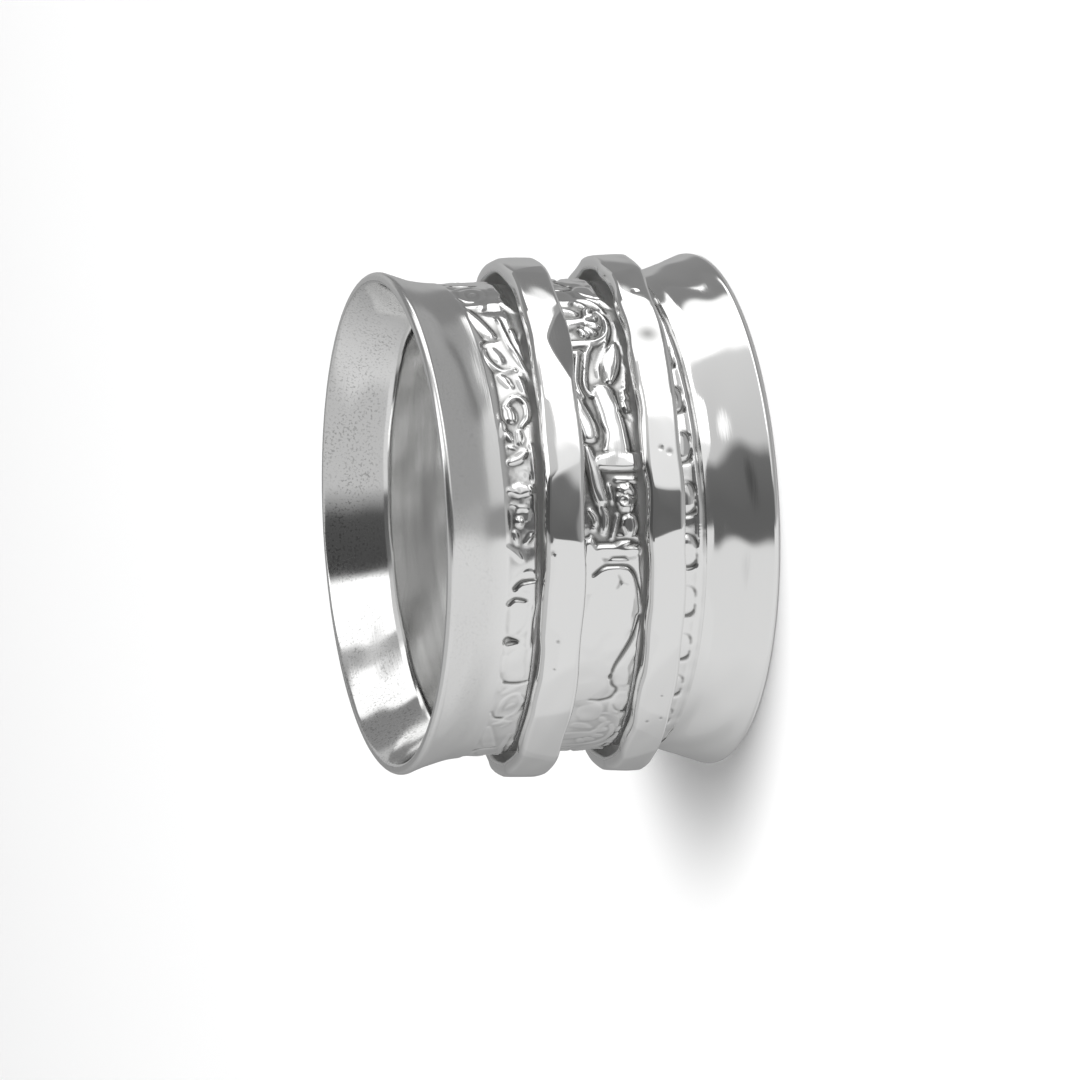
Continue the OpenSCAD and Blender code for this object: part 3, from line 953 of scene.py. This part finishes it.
class Nodes:
    """Short hand for building a node tree. An input's value is a constant or an output socket."""

    def __init__(self, tree: bpy.types.NodeTree) -> None:
        """Starts from an empty tree."""
        self.tree = tree
        tree.nodes.clear()

    def add(self, kind: str, inputs: dict | None = None, **settings: object) -> bpy.types.Node:
        """Adds a node.

        Args:
            kind: Blender's name of the node type.
            inputs: Values of inputs, by name or number.
            settings: Properties of the node, by name.

        Returns:
            The node.
        """
        node = self.tree.nodes.new(kind)
        for key, value in settings.items():
            setattr(node, key, value)
        for socket, value in (inputs or {}).items():
            self.feed(node, socket, value)
        return node

    def feed(self, node: bpy.types.Node, socket: str | int, value: object) -> None:
        """Sets an input socket to a constant, or links it to an output socket.

        Args:
            node: Node whose input is set.
            socket: Name or number of the input.
            value: Constant or output socket.
        """
        if isinstance(value, bpy.types.NodeSocket):
            self.tree.links.new(value, node.inputs[socket])
        else:
            node.inputs[socket].default_value = value

    def math(self, operation: str, *values: object) -> bpy.types.NodeSocket:
        """Result of a Math node."""
        return self.add("ShaderNodeMath", dict(enumerate(values)), operation=operation).outputs[0]

    def mix(self, factor: object, a: object, b: object) -> bpy.types.NodeSocket:
        """Colour that runs from a to b with the factor."""
        inputs = {"Factor": factor, "A": a, "B": b}
        return self.add("ShaderNodeMix", inputs, data_type="RGBA").outputs["Result"]

    def noise(self, place: object, scale: float, detail: float) -> bpy.types.NodeSocket:
        """Value of a noise texture."""
        inputs = {"Vector": place, "Scale": scale, "Detail": detail}
        return self.add("ShaderNodeTexNoise", inputs).outputs["Fac"]

    def attribute(self, name: str) -> bpy.types.NodeSocket:
        """Value of a mesh's own attribute."""
        return self.add("ShaderNodeAttribute", attribute_name=name).outputs["Fac"]

    def ramp(self, value: bpy.types.NodeSocket, stops: Levels) -> bpy.types.NodeSocket:
        """Adds a grey colour ramp.

        Args:
            value: Output socket that drives the ramp.
            stops: Position and grey level of each stop.

        Returns:
            The ramp's colour.
        """
        node = self.add("ShaderNodeValToRGB", {"Fac": value})
        elements = node.color_ramp.elements
        while len(elements) < len(stops):
            elements.new(1.0)
        for element, (position, level) in zip(elements, stops):
            element.position = position
            element.color = (level, level, level, 1.0)
        return node.outputs["Color"]


@dataclass(frozen=True)
class Zone:
    """Surroundings for directions that point up or down along the ring's axis.

    Start and whole are the upward shares of a direction at which the zone begins and is complete. Both
    are negative for a zone below.
    """

    start: float
    whole: float
    levels: Levels


@dataclass(frozen=True)
class Studio:
    """Plain pale floor and soft studio light.

    Levels of light are set by the angle in degrees round the camera's horizontal line: 0 is towards the
    camera, positive is above it in the picture. They are a pale table below, a dark room round the
    camera, a white panel above it and a grey ceiling behind. Of the zones, the first two show in faces
    that look up, such as the lower flare, and the others in faces that look down, such as the upper one.
    """

    camera: PhotoCamera
    floor_half: float = 2.0
    floor_grey: float = 0.9
    floor_roughness: float = 0.9
    key_power: float = 2.2
    key_size: float = 0.25
    key_height: float = 0.5
    key_place: tuple[float, float] = (0.12, -0.05)
    key_tilt: tuple[float, float] = (-5.7, 13.5)
    surroundings: Levels = (
        (-180, 0.26), (-150, 0.34), (-120, 0.48), (-96, 0.64), (-70, 0.74), (-10, 0.74), (-8, 0.13),
        (0, 0.12), (10, 0.16), (14, 0.55), (20, 0.80), (34, 0.86), (37, 1.6), (118, 1.6), (121, 0.22),
        (150, 0.26), (155, 0.44), (180, 0.40),
    )
    zones: tuple[Zone, ...] = (
        Zone(0.0, 0.02, (
            (-180, 0.28), (-150, 0.36), (-120, 0.5), (-96, 0.64), (-70, 0.72), (-18, 0.72), (-14, 0.12),
            (0, 0.12), (20, 0.15), (27, 0.58), (70, 0.68), (75, 1.4), (104, 1.15), (107, 0.22),
            (136, 0.26), (142, 0.5), (180, 0.4),
        )),
        Zone(0.44, 0.52, (
            (-180, 0.5), (-60, 0.52), (-20, 0.55), (-12, 0.3), (-6, 0.08), (22, 0.06), (27, 1.5),
            (57, 1.4), (61, 0.42), (90, 0.26), (130, 0.24), (180, 0.4),
        )),
        Zone(-0.31, -0.36, (
            (-180, 0.3), (-150, 0.38), (-120, 0.5), (-96, 0.66), (-70, 0.74), (-12, 0.74), (-8, 0.3),
            (8, 0.28), (13, 0.6), (60, 0.68), (68, 0.36), (117, 0.34), (122, 0.24), (150, 0.26),
            (155, 0.44), (180, 0.4),
        )),
        Zone(-0.50, -0.52, (
            (-180, 0.4), (-120, 0.56), (-70, 0.74), (-12, 0.74), (-6, 0.36), (60, 0.38), (68, 0.16),
            (108, 0.2), (116, 0.34), (140, 0.4), (180, 0.44),
        )),
        Zone(-0.56, -0.62, (
            (-180, 0.55), (-100, 0.72), (-12, 0.76), (-6, 0.42), (14, 0.42), (20, 0.35), (110, 0.36),
            (140, 0.42), (180, 0.5),
        )),
    )

    @staticmethod
    def stops(levels: Levels) -> Levels:
        """Levels with their angles as positions on a colour ramp."""
        return tuple(((angle + 180) / 360, level) for angle, level in levels)

    def world(self) -> None:
        """Sets the light of the surroundings by direction; the camera itself sees plain white."""
        world = bpy.data.worlds.new("studio")
        bpy.context.scene.world = world
        world.use_nodes = True
        n = Nodes(world.node_tree)
        axes = self.camera.right_up_back()
        direction = n.add("ShaderNodeTexCoord").outputs["Generated"]
        parts = []
        for axis in axes[:, 1:].T:
            inputs = {0: direction, 1: axis.tolist()}
            parts.append(n.add("ShaderNodeVectorMath", inputs, operation="DOT_PRODUCT").outputs["Value"])
        turn = n.math("ARCTAN2", *parts)
        share = n.math("MULTIPLY_ADD", turn, 1 / FULL_TURN, 0.5)
        light = n.ramp(share, self.stops(self.surroundings))
        upward = n.add("ShaderNodeSeparateXYZ", {"Vector": direction}).outputs["Z"]
        for zone in self.zones:
            side = n.ramp(share, self.stops(zone.levels))
            along = n.math("MULTIPLY", upward, math.copysign(1.0, zone.start))
            inside = n.ramp(along, ((abs(zone.start), 0.0), (abs(zone.whole), 1.0)))
            light = n.mix(inside, light, side)
        seen = n.add("ShaderNodeLightPath").outputs["Is Camera Ray"]
        inputs = {"Color": n.mix(seen, light, (1, 1, 1, 1)), "Strength": 1.0}
        n.add("ShaderNodeOutputWorld", {"Surface": n.add("ShaderNodeBackground", inputs).outputs[0]})

    def floor(self) -> bpy.types.Object:
        """Adds the floor, which the ring doesn't mirror.

        Returns:
            The floor's object.
        """
        mesh = bpy.data.meshes.new("floor")
        h = self.floor_half
        mesh.from_pydata([(-h, -h, 0), (h, -h, 0), (h, h, 0), (-h, h, 0)], [], [(0, 1, 2, 3)])
        floor = bpy.data.objects.new("floor", mesh)
        bpy.context.scene.collection.objects.link(floor)
        material = bpy.data.materials.new("pale_floor")
        material.use_nodes = True
        shader = material.node_tree.nodes["Principled BSDF"]
        shader.inputs["Base Color"].default_value = (self.floor_grey,) * 3 + (1.0,)
        shader.inputs["Roughness"].default_value = self.floor_roughness
        mesh.materials.append(material)
        floor.visible_glossy = False
        return floor

    def key_light(self) -> bpy.types.Object:
        """Adds a soft light over the ring, which lights the floor and draws the ring's shadow.

        Returns:
            The light's object.
        """
        data = bpy.data.lights.new("soft_light", "AREA")
        data.shape = "DISK"
        data.size = self.key_size
        data.energy = self.key_power
        light = bpy.data.objects.new("soft_light", data)
        light.location = (*self.key_place, self.key_height)
        light.rotation_euler = (*np.radians(self.key_tilt), 0)
        light.visible_glossy = False
        light.visible_camera = False
        bpy.context.scene.collection.objects.link(light)
        return light

    def build(self) -> None:
        """Adds camera, surroundings, floor and light."""
        self.camera.build()
        self.world()
        self.floor()
        self.key_light()
        bpy.context.scene.view_settings.view_transform = "Standard"


@dataclass(frozen=True)
class SilverFinish:
    """Polished silver with fine marks along the ring, darkened in recesses by tarnish and painted shade,
    satin or spotted in places.

    Scales are those of noise on the object's own coordinates in metres.
    """

    name: str
    bright: tuple[float, float, float] = (0.93, 0.93, 0.925)
    # Grey of tarnish and of painted shade
    tarnish_and_shade: tuple[float, float, float] = (0.24, 0.24, 0.235)
    roughness: float = 0.07
    cloud_share: float = 0.8
    clear_share: float = 0.6
    recess_roughness: float = 0.22
    dull_roughness: float = 0.34
    satin_and_shade_darkening: float = 0.25
    specks: float = 0.6
    speck_scale: float = 9000.0
    speck_stops: Levels = ((0.53, 0.0), (0.68, 1.0))
    cloud_scale: float = 500.0
    marks: float = 0.02
    mark_scales: tuple[float, float, float] = (900, 900, 14000)
    mark_depth: float = 0.00002

    def material(self) -> bpy.types.Material:
        """Builds the material from noise and from the attributes recess, dull and spotted.

        Returns:
            The material.
        """
        material = bpy.data.materials.new(self.name)
        material.use_nodes = True
        n = Nodes(material.node_tree)
        place = n.add("ShaderNodeTexCoord").outputs["Object"]
        stretch = n.add("ShaderNodeMapping", {"Vector": place, "Scale": self.mark_scales})
        fine = n.noise(stretch.outputs[0], 1.0, 3.0)
        cloud = n.noise(place, self.cloud_scale, 4.0)
        grain = n.noise(place, self.speck_scale, 3.0)
        tarnish_and_shade_share, satin_and_shade, spotted = (n.attribute(key) for key in ("tarnish_and_shade_share", "satin_and_shade", "spotted"))
        speck = n.math("MULTIPLY", n.ramp(grain, self.speck_stops), self.specks)
        # Darker colour from tarnish, spots and painted shade; satin and painted shade darken it too
        stain_and_shade = n.math("MULTIPLY_ADD", speck, spotted, n.math("MULTIPLY", satin_and_shade, self.satin_and_shade_darkening))
        stain_and_shade = n.math("MAXIMUM", tarnish_and_shade_share, stain_and_shade)
        shares = (self.roughness * self.cloud_share, self.roughness * self.clear_share)
        rough = n.math("MULTIPLY_ADD", cloud, *shares)
        rough = n.math("MULTIPLY_ADD", tarnish_and_shade_share, self.recess_roughness, rough)
        bump = {"Strength": self.marks, "Distance": self.mark_depth, "Height": fine}
        shader = n.add("ShaderNodeBsdfPrincipled", {
            "Base Color": n.mix(stain_and_shade, (*self.bright, 1), (*self.tarnish_and_shade, 1)),
            "Roughness": n.math("MULTIPLY_ADD", satin_and_shade, self.dull_roughness, rough),
            "Normal": n.add("ShaderNodeBump", bump).outputs[0],
        })
        shader.inputs["Metallic"].default_value = 1.0
        n.add("ShaderNodeOutputMaterial", {"Surface": shader.outputs[0]})
        return material


@dataclass
class Band:
    """The wide base ring with its flares, borders and sunk strip.

    Waves are heights of the slight unevenness, fades are lengths over which something grows, and the
    shares of satin, spots and painted shade are those of the metal where they are strongest.
    """

    sizes: RingSizes
    columns: int = 440
    lip_rows: int = 12
    flare_rows: int = 14
    bend_rows: int = 10
    inner_lip_rows: int = 9
    bell_rows: int = 12
    floor_rows: int = 24
    bore_rows: int = 36
    floor_drop: float = 0.04
    floor_in: float = 0.02
    corner_up: float = 0.03
    corner_in: float = 0.005
    outer_wave: float = 0.013
    lower_wave: float = 0.03
    inner_wave: float = 0.016
    outer_ripples: Ripples = Ripples(12, 3.0, 3)
    inner_ripples: Ripples = Ripples(9, 3.2, 8)
    strip_fade: float = 0.5
    lip_fade: tuple[float, float] = (0.5, 1.3)
    flare_fade: float = 0.8
    least_satin: float = 0.05
    flare_satin: float = 0.25
    hole_satin: float = 0.1
    satin_fade: tuple[float, float] = (-0.2, 0.2)
    flare_spots: float = 0.15
    spot_clouds: Ripples = Ripples(9, 2.5, 17)
    spot_change: float = 0.3
    # Painted shade in the finger hole: its level, its streaks and how it deepens inside
    tarnish_and_shade: float = 0.2
    tarnish_and_shade_fade: tuple[float, float] = (0.1, 1.3)
    streak: float = 0.12
    broad_streaks: Ripples = Ripples(9, 8.0, 29, 4.0)
    fine_streaks: Ripples = Ripples(9, 9.0, 37, 9.0)

    def lip_centre(self, rim_r: float) -> tuple[float, float]:
        """Centre of a lip's round, counted from its own end."""
        lip_r = self.sizes.lip_t / 2
        return rim_r - lip_r, lip_r * (1 - self.sizes.lip_flat_share)

    def outside_end(self, rim_r: float, bend_r: float, stop_h: float) -> np.ndarray:
        """Outside of one end, from the lip's flat up to a height: lip, straight flare and soft bend.

        Args:
            rim_r: Outer radius of the lip.
            bend_r: Radius of the bend between flare and neck.
            stop_h: Height at which the profile stops.

        Returns:
            Rows of radius and height, counted from this end.
        """
        s, slope = self.sizes, math.radians(self.sizes.flare_slope)
        foot = s.flare_h(rim_r - s.neck_r)
        bend_l = bend_r * math.tan(slope / 2)
        lip = self.lip_centre(rim_r)
        round_part = arc_points(lip, s.lip_t / 2, -90, s.flare_slope, self.lip_rows)
        bend_foot = (s.neck_r + bend_l * math.sin(slope), foot - bend_l * math.cos(slope))
        straight = line_points(tuple(round_part[-1]), bend_foot, self.flare_rows)[1:]
        centre = (s.neck_r + bend_r, foot + bend_l)
        stop = min(stop_h, centre[1])
        last = 180 + math.degrees(math.asin((centre[1] - stop) / bend_r))
        bend = arc_points(centre, bend_r, 180 + s.flare_slope, last, self.bend_rows)
        return np.vstack([round_part, straight, bend])

    def inside_end(self, rim_r: float, bell_h: float) -> np.ndarray:
        """Inside of one end, from the lip's flat to the finger hole: lip round, then the bell's slope.

        Args:
            rim_r: Outer radius of the lip.
            bell_h: Height at which the bell meets the straight hole.

        Returns:
            Rows of radius and height, counted from this end.
        """
        s, lip_r = self.sizes, self.sizes.lip_t / 2
        lip = self.lip_centre(rim_r)
        run = (lip[0] - s.finger_r, bell_h - lip[1])
        slope = math.atan2(*run) - math.asin(lip_r / math.hypot(*run))
        last = 180 + math.degrees(slope)
        round_part = arc_points(lip, lip_r, 270, last, self.inner_lip_rows)[1:]
        straight = line_points(tuple(round_part[-1]), (s.finger_r, bell_h), self.bell_rows)[1:]
        return np.vstack([round_part, straight])

    def profile(self) -> np.ndarray:
        """Closed profile: up the outside, over the upper lip and down the inside.

        Returns:
            Rows of radius and height in millimetres.
        """
        s = self.sizes
        low, high = s.pattern_z
        floor_r = s.ground_r - self.floor_drop
        lower = self.outside_end(s.lower_rim_r, s.lower_bend_r, low)
        upper = self.outside_end(s.upper_rim_r, s.upper_bend_r, s.upper_border_h)
        upper_in = self.inside_end(s.upper_rim_r, s.upper_bell_h)
        for end in (upper, upper_in):
            end[:, 1] = s.band_w - end[:, 1]
        floor_top = (floor_r, high - self.floor_in)
        channel = np.vstack([
            [(floor_r + self.corner_up, low + self.corner_in)],
            line_points((floor_r, low + self.floor_in), floor_top, self.floor_rows),
            [floor_top, (floor_r + self.corner_up, high - self.corner_in)],
        ])
        hole = ((s.finger_r, s.band_w - s.upper_bell_h), (s.finger_r, s.lower_bell_h))
        bore = line_points(*hole, self.bore_rows)
        lower_in = self.inside_end(s.lower_rim_r, s.lower_bell_h)
        return np.vstack([lower, channel, upper[::-1], upper_in, bore, lower_in[::-1]])

    def outside_rows(self, radius: np.ndarray) -> np.ndarray:
        """Which points lie on the outside: the profile's rows before the top of the upper lip.

        Args:
            radius: Radii in millimetres, with the profile's rows.

        Returns:
            Column of truth values.
        """
        s = self.sizes
        inside_count = len(self.inside_end(s.upper_rim_r, s.upper_bell_h))
        inside_count += self.bore_rows - 1 + len(self.inside_end(s.lower_rim_r, s.lower_bell_h))
        return (np.arange(len(radius)) < len(radius) - inside_count)[:, None]

    def corner_rows(self) -> tuple[int, int]:
        """The profile's rows at the two upper corners of the sunk strip.

        Returns:
            Last row below the strip and first row above it.
        """
        s = self.sizes
        first = len(self.outside_end(s.lower_rim_r, s.lower_bend_r, s.pattern_z[0])) - 1
        return first, first + self.floor_rows + 4

    def unevenness(self, radius: np.ndarray, height: np.ndarray, turn: np.ndarray) -> np.ndarray:
        """Slight waves that polishing by hand left, fading out at the lips and beside the pattern.

        Args:
            radius: Radii of the true surface in millimetres.
            height: Heights of the same shape.
            turn: Angle of each column in radians.

        Returns:
            How far each point moves outwards, in millimetres.
        """
        s = self.sizes
        low, high = s.pattern_z
        beside = fade(np.maximum(low - height, height - high), 0, self.strip_fade)
        clear = fade(np.minimum(height, s.band_w - height), *self.lip_fade)
        size = np.where(height < s.band_w / 2, self.lower_wave, self.outer_wave)
        outer = beside * size * self.outer_ripples.at(turn, height)
        inner = self.inner_wave * self.inner_ripples.at(turn, height)
        return clear * np.where(self.outside_rows(radius), outer, inner)

    def wear(self, radius: np.ndarray, height: np.ndarray, turn: np.ndarray) -> dict[str, np.ndarray]:
        """Shares of satin, spots and painted shade.

        Satin metal lies on the upper flare and in the finger hole. Fine dark spots lie in clouds in the
        bell of the upper end, and a few on its flare. Painted shade lies in streaks round the finger
        hole and deepens away from its two ends.

        Args:
            radius: Radii in millimetres.
            height: Heights of the same shape.
            turn: Angle of each column in radians.

        Returns:
            Shares from 0 to 1 by the names of their attributes.
        """
        s = self.sizes
        outside = self.outside_rows(radius)
        border_z = s.band_w - s.upper_border_h
        upper = fade(height, border_z, border_z + self.flare_fade)
        from_bells = np.minimum(height - s.lower_bell_h, s.band_w - s.upper_bell_h - height)
        hole_satin = self.hole_satin * (1 + fade(from_bells, *self.satin_fade))
        clouds = 1 - self.spot_change + self.spot_change * self.spot_clouds.at(turn, height)
        # Painted shade in streaks, deeper away from the hole's two ends
        streaks = self.broad_streaks.at(turn, height) + self.fine_streaks.at(turn, height)
        hole_shade = np.clip(self.tarnish_and_shade + self.streak * streaks, 0, 1)
        hole_shade = hole_shade * fade(from_bells, *self.tarnish_and_shade_fade)
        return {
            "satin_and_shade": np.where(outside, self.least_satin + self.flare_satin * upper, hole_satin),
            "spotted": np.clip(upper * np.where(outside, self.flare_spots, 1.0) * clouds, 0, 1),
            "tarnish_and_shade_share": np.where(outside, 0, hole_shade),
        }

    def build(self, finish: bpy.types.Material) -> bpy.types.Object:
        """Builds the band's turned body.

        Args:
            finish: Material of the band.

        Returns:
            The band's plain metal.
        """
        profile = self.profile()
        turn = whole_turn(self.columns)
        radius = np.repeat(profile[:, :1], self.columns, axis=1)
        height = np.clip(np.repeat(profile[:, 1:], self.columns, axis=1), 0, self.sizes.band_w)
        radius = radius + self.unevenness(radius, height, turn)
        marks = self.wear(radius, height, turn)
        piece = turned_mesh("band_body", radius, height, turn, marks, sharp_rows=self.corner_rows())
        dress(piece, finish, Body.BAND)
        return piece


@dataclass(frozen=True)
class Blow:
    """One stronger hammer blow that leaves a flat facet on a hoop's outside."""

    turn: float
    height: float
    depth: float
    tilt: float
    REACH: ClassVar[float] = 0.7

    def plane(self, turns: np.ndarray, heights: np.ndarray, outer_r: float) -> np.ndarray:
        """Radius of the facet's plane at each point of the hoop.

        Args:
            turns: Angles in radians.
            heights: Heights from the hoop's middle in millimetres.
            outer_r: Outer radius of the hoop.

        Returns:
            Radii in millimetres.
        """
        off = np.clip(angle_from(turns, math.radians(self.turn - 90)), -self.REACH, self.REACH)
        lift = math.tan(math.radians(self.tilt)) * (heights - self.height)
        return (outer_r - self.depth + lift) / np.cos(off)


@dataclass(frozen=True)
class Pit:
    """A small round dent in a hoop's outside, with a share of darker colour in it."""

    turn: float
    height: float
    radius: float
    depth: float
    dark: float = 0.8
    TIP: ClassVar[float] = 0.15

    def dent(self, turns: np.ndarray, heights: np.ndarray, outer_r: float) -> np.ndarray:
        """Depth of the dent at each point: a cone with a rounded tip.

        Args:
            turns: Angles in radians.
            heights: Heights from the hoop's middle in millimetres.
            outer_r: Outer radius of the hoop.

        Returns:
            Depths in millimetres.
        """
        off = angle_from(turns, math.radians(self.turn - 90)) * outer_r
        gap = (off ** 2 + (heights - self.height) ** 2) / self.radius ** 2
        return self.depth * np.clip(1 + self.TIP - np.sqrt(gap + self.TIP ** 2), 0, 1)


@dataclass
class Hoop:
    """A hammered hoop that turns round the band.

    Mark fields are the number of hammer marks, the share of their depth that stays, their usual depth
    and how much it, their place, tilt and skew differ from mark to mark.
    """

    sizes: RingSizes
    body: Body
    width: float
    lean: Lean
    first_mark: float
    series: int
    blows: tuple[Blow, ...] = ()
    pits: tuple[Pit, ...] = ()
    columns: int = 960
    mark_count: int = 24
    mark_share: float = 0.6
    mark_depth: float = 0.09
    mark_depth_change: float = 0.035
    mark_place_change: float = 0.12
    mark_tilt: float = 5.0
    mark_skew: float = 3.0
    mark_reach: float = 0.6
    mark_soft: float = 0.014
    edge_wave: float = 0.15
    ripple: float = 0.006
    side_rows: int = 6
    edge_rows: int = 8
    dome_rows: int = 26
    bore_rows: int = 8
    # Tarnish and painted shade on the bore, which faces the band
    bore_tarnish_and_shade: float = 0.2
    bore_share: float = 0.3

    @staticmethod
    def uneven(i: np.ndarray, series: int) -> np.ndarray:
        """Repeatable uneven number between -1 and 1: the sine of a large step of degrees."""
        return np.sin(np.radians(i * (61 + 23 * series)))

    def section(self) -> np.ndarray:
        """Closed section: lower side outwards, domed outside upwards, upper side and bore.

        Returns:
            Rows of radius and height, counted from the hoop's middle.
        """
        s, half, edge = self.sizes, self.width / 2, self.sizes.hoop_edge_r
        dome_z = s.hoop_out_r - s.hoop_dome_r
        side_r = dome_z + math.sqrt(s.hoop_dome_r ** 2 - (half - edge) ** 2) - edge
        tilt = math.degrees(math.asin((half - edge) / s.hoop_dome_r))
        return np.vstack([
            line_points((s.hoop_bore_r, -half), (side_r, -half), self.side_rows),
            arc_points((side_r, edge - half), edge, -90, 0, self.edge_rows)[:-1],
            arc_points((dome_z, 0.0), s.hoop_dome_r, -tilt, tilt, self.dome_rows),
            arc_points((side_r, half - edge), edge, 0, 90, self.edge_rows)[1:],
            line_points((side_r, half), (s.hoop_bore_r, half), self.side_rows)[1:],
            line_points((s.hoop_bore_r, half), (s.hoop_bore_r, -half), self.bore_rows),
        ])

    def hammered(self, turn: np.ndarray, height: np.ndarray) -> np.ndarray:
        """How far the hammer marks lower the outside.

        Each mark is a plane across the hoop with its own turn, tilt and depth. The outside follows the
        lowest plane at each point, softened where two planes meet.

        Args:
            turn: Angles in radians.
            height: Heights in millimetres.

        Returns:
            Depth in millimetres, 0 or more.
        """
        out_r, i = self.sizes.hoop_out_r, np.arange(self.mark_count)
        shift, deeper, tilt, skew = (self.uneven(i, self.series + k) for k in range(4))
        place = self.first_mark + (i + self.mark_place_change * shift) * 360 / self.mark_count
        depth = self.mark_depth + self.mark_depth_change * deeper
        slope = np.tan(np.radians(self.mark_tilt * tilt))
        off = np.clip(angle_from(turn[..., None], np.radians(place)), -self.mark_reach, self.mark_reach)
        off = off - np.radians(self.mark_skew * skew)
        plane = (out_r - depth + slope * height[..., None]) / np.cos(off)
        lowest = plane.min(axis=-1)
        blend = np.exp((lowest[..., None] - plane) / self.mark_soft).sum(axis=-1)
        level = lowest - self.mark_soft * np.log(blend)
        return np.clip(out_r - level, 0, None) * self.mark_share

    def build(self, finish: bpy.types.Material) -> bpy.types.Object:
        """Builds the hoop: its section turned, then hammered, struck, dented and waved at its edges.

        Args:
            finish: Material of the hoop.

        Returns:
            The hoop.
        """
        s, section = self.sizes, self.section()
        turn = whole_turn(self.columns)
        radius = np.repeat(section[:, :1], self.columns, axis=1)
        height = np.repeat(section[:, 1:], self.columns, axis=1)
        turns = np.broadcast_to(turn, radius.shape)
        outside = fade(radius, s.hoop_bore_r, s.hoop_out_r)
        waves = self.ripple * (1 + Ripples(10, 1.6, self.series + 51).at(turns, height))
        radius = radius - outside ** 2 * (self.hammered(turns, height) + waves)
        for blow in self.blows:
            facet = blow.plane(turns, height, s.hoop_out_r)
            radius = np.minimum(radius, np.maximum(facet, s.hoop_bore_r))
        for pit in self.pits:
            radius = radius - outside ** 2 * pit.dent(turns, height, s.hoop_out_r)
        side = height / (self.width / 2)
        edges = (Ripples(7, 3.0, self.series + k, squeeze=0.0) for k in (11, 31))
        upper, lower = (edge.at(turns, height) for edge in edges)
        inwards = self.edge_wave * (0.5 + 0.5 * np.tanh(np.where(side > 0, upper, lower)))
        height = height - np.sign(side) * side ** 2 * inwards
        # Tarnish and painted shade on the bore and the inner edges of the sides, which face the band
        in_bore = fade(radius, s.hoop_bore_r + self.bore_share * s.hoop_t, s.hoop_bore_r)
        shaded = self.bore_tarnish_and_shade * in_bore
        # Darker colour in the pits
        for pit in self.pits:
            shaded = shaded + outside * pit.dark / pit.depth * pit.dent(turns, height, s.hoop_out_r)
        marks = {"tarnish_and_shade_share": shaded, "satin_and_shade": in_bore}
        piece = turned_mesh(self.body.value + "_hammered", radius, height, turn, marks, self.lean)
        dress(piece, finish, self.body)
        return piece


def made_hoops(sizes: RingSizes) -> tuple[Hoop, Hoop]:
    """The two hoops in their places, with their strongest marks.

    Args:
        sizes: Sizes of the ring.

    Returns:
        Upper and lower hoop.
    """
    upper_blow = Blow(41.5, -0.3, 0.13, 13.0)
    upper_pits = (
        Pit(-7.6, 0.58, 0.11, 0.03), Pit(-27.5, 0.19, 0.1, 0.025), Pit(-34.5, 0.22, 0.07, 0.01),
    )
    lower_pits = (
        Pit(56.8, -0.05, 0.16, 0.05, 0.3), Pit(42.3, -0.05, 0.75, 0.012, 0.88),
        Pit(14.0, 0.11, 0.14, 0.02), Pit(13.1, -0.26, 0.18, 0.022), Pit(-51.8, 0.25, 0.09, 0.025),
        Pit(-50.9, -0.33, 0.09, 0.03), Pit(-43.9, -0.19, 0.07, 0.02),
    )
    upper = Lean(sizes.upper_lean, sizes.upper_lean_turn, sizes.upper_hoop_z)
    lower = Lean(sizes.lower_lean, sizes.lower_lean_turn, sizes.lower_hoop_z)
    return (
        Hoop(sizes, Body.UPPER_HOOP, sizes.upper_hoop_w, upper, 2.5, 0, (upper_blow,), upper_pits),
        Hoop(sizes, Body.LOWER_HOOP, sizes.lower_hoop_w, lower, 0.0, 4, (), lower_pits),
    )


def main() -> None:
    """Builds the stage and then the ring, piece by piece, and logs each piece's number of faces."""
    logging.basicConfig(level=logging.INFO, format="%(name)s: %(message)s")
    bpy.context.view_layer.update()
    sizes = RingSizes()
    Studio(PhotoCamera()).build()
    band_finish = SilverFinish("band_silver", marks=0.06).material()
    hoop_finish = SilverFinish("hoop_silver").material()
    hoops = made_hoops(sizes)
    pieces = [Band(sizes).build(band_finish)]
    pieces += Relief(sizes, PATTERN, tuple((hoop.lean, hoop.width) for hoop in hoops)).build(band_finish)
    pieces += [hoop.build(hoop_finish) for hoop in hoops]
    for piece in pieces:
        LOG.info("%s: %d faces", piece.name, len(piece.data.polygons))


if __name__ == "__main__":
    main()
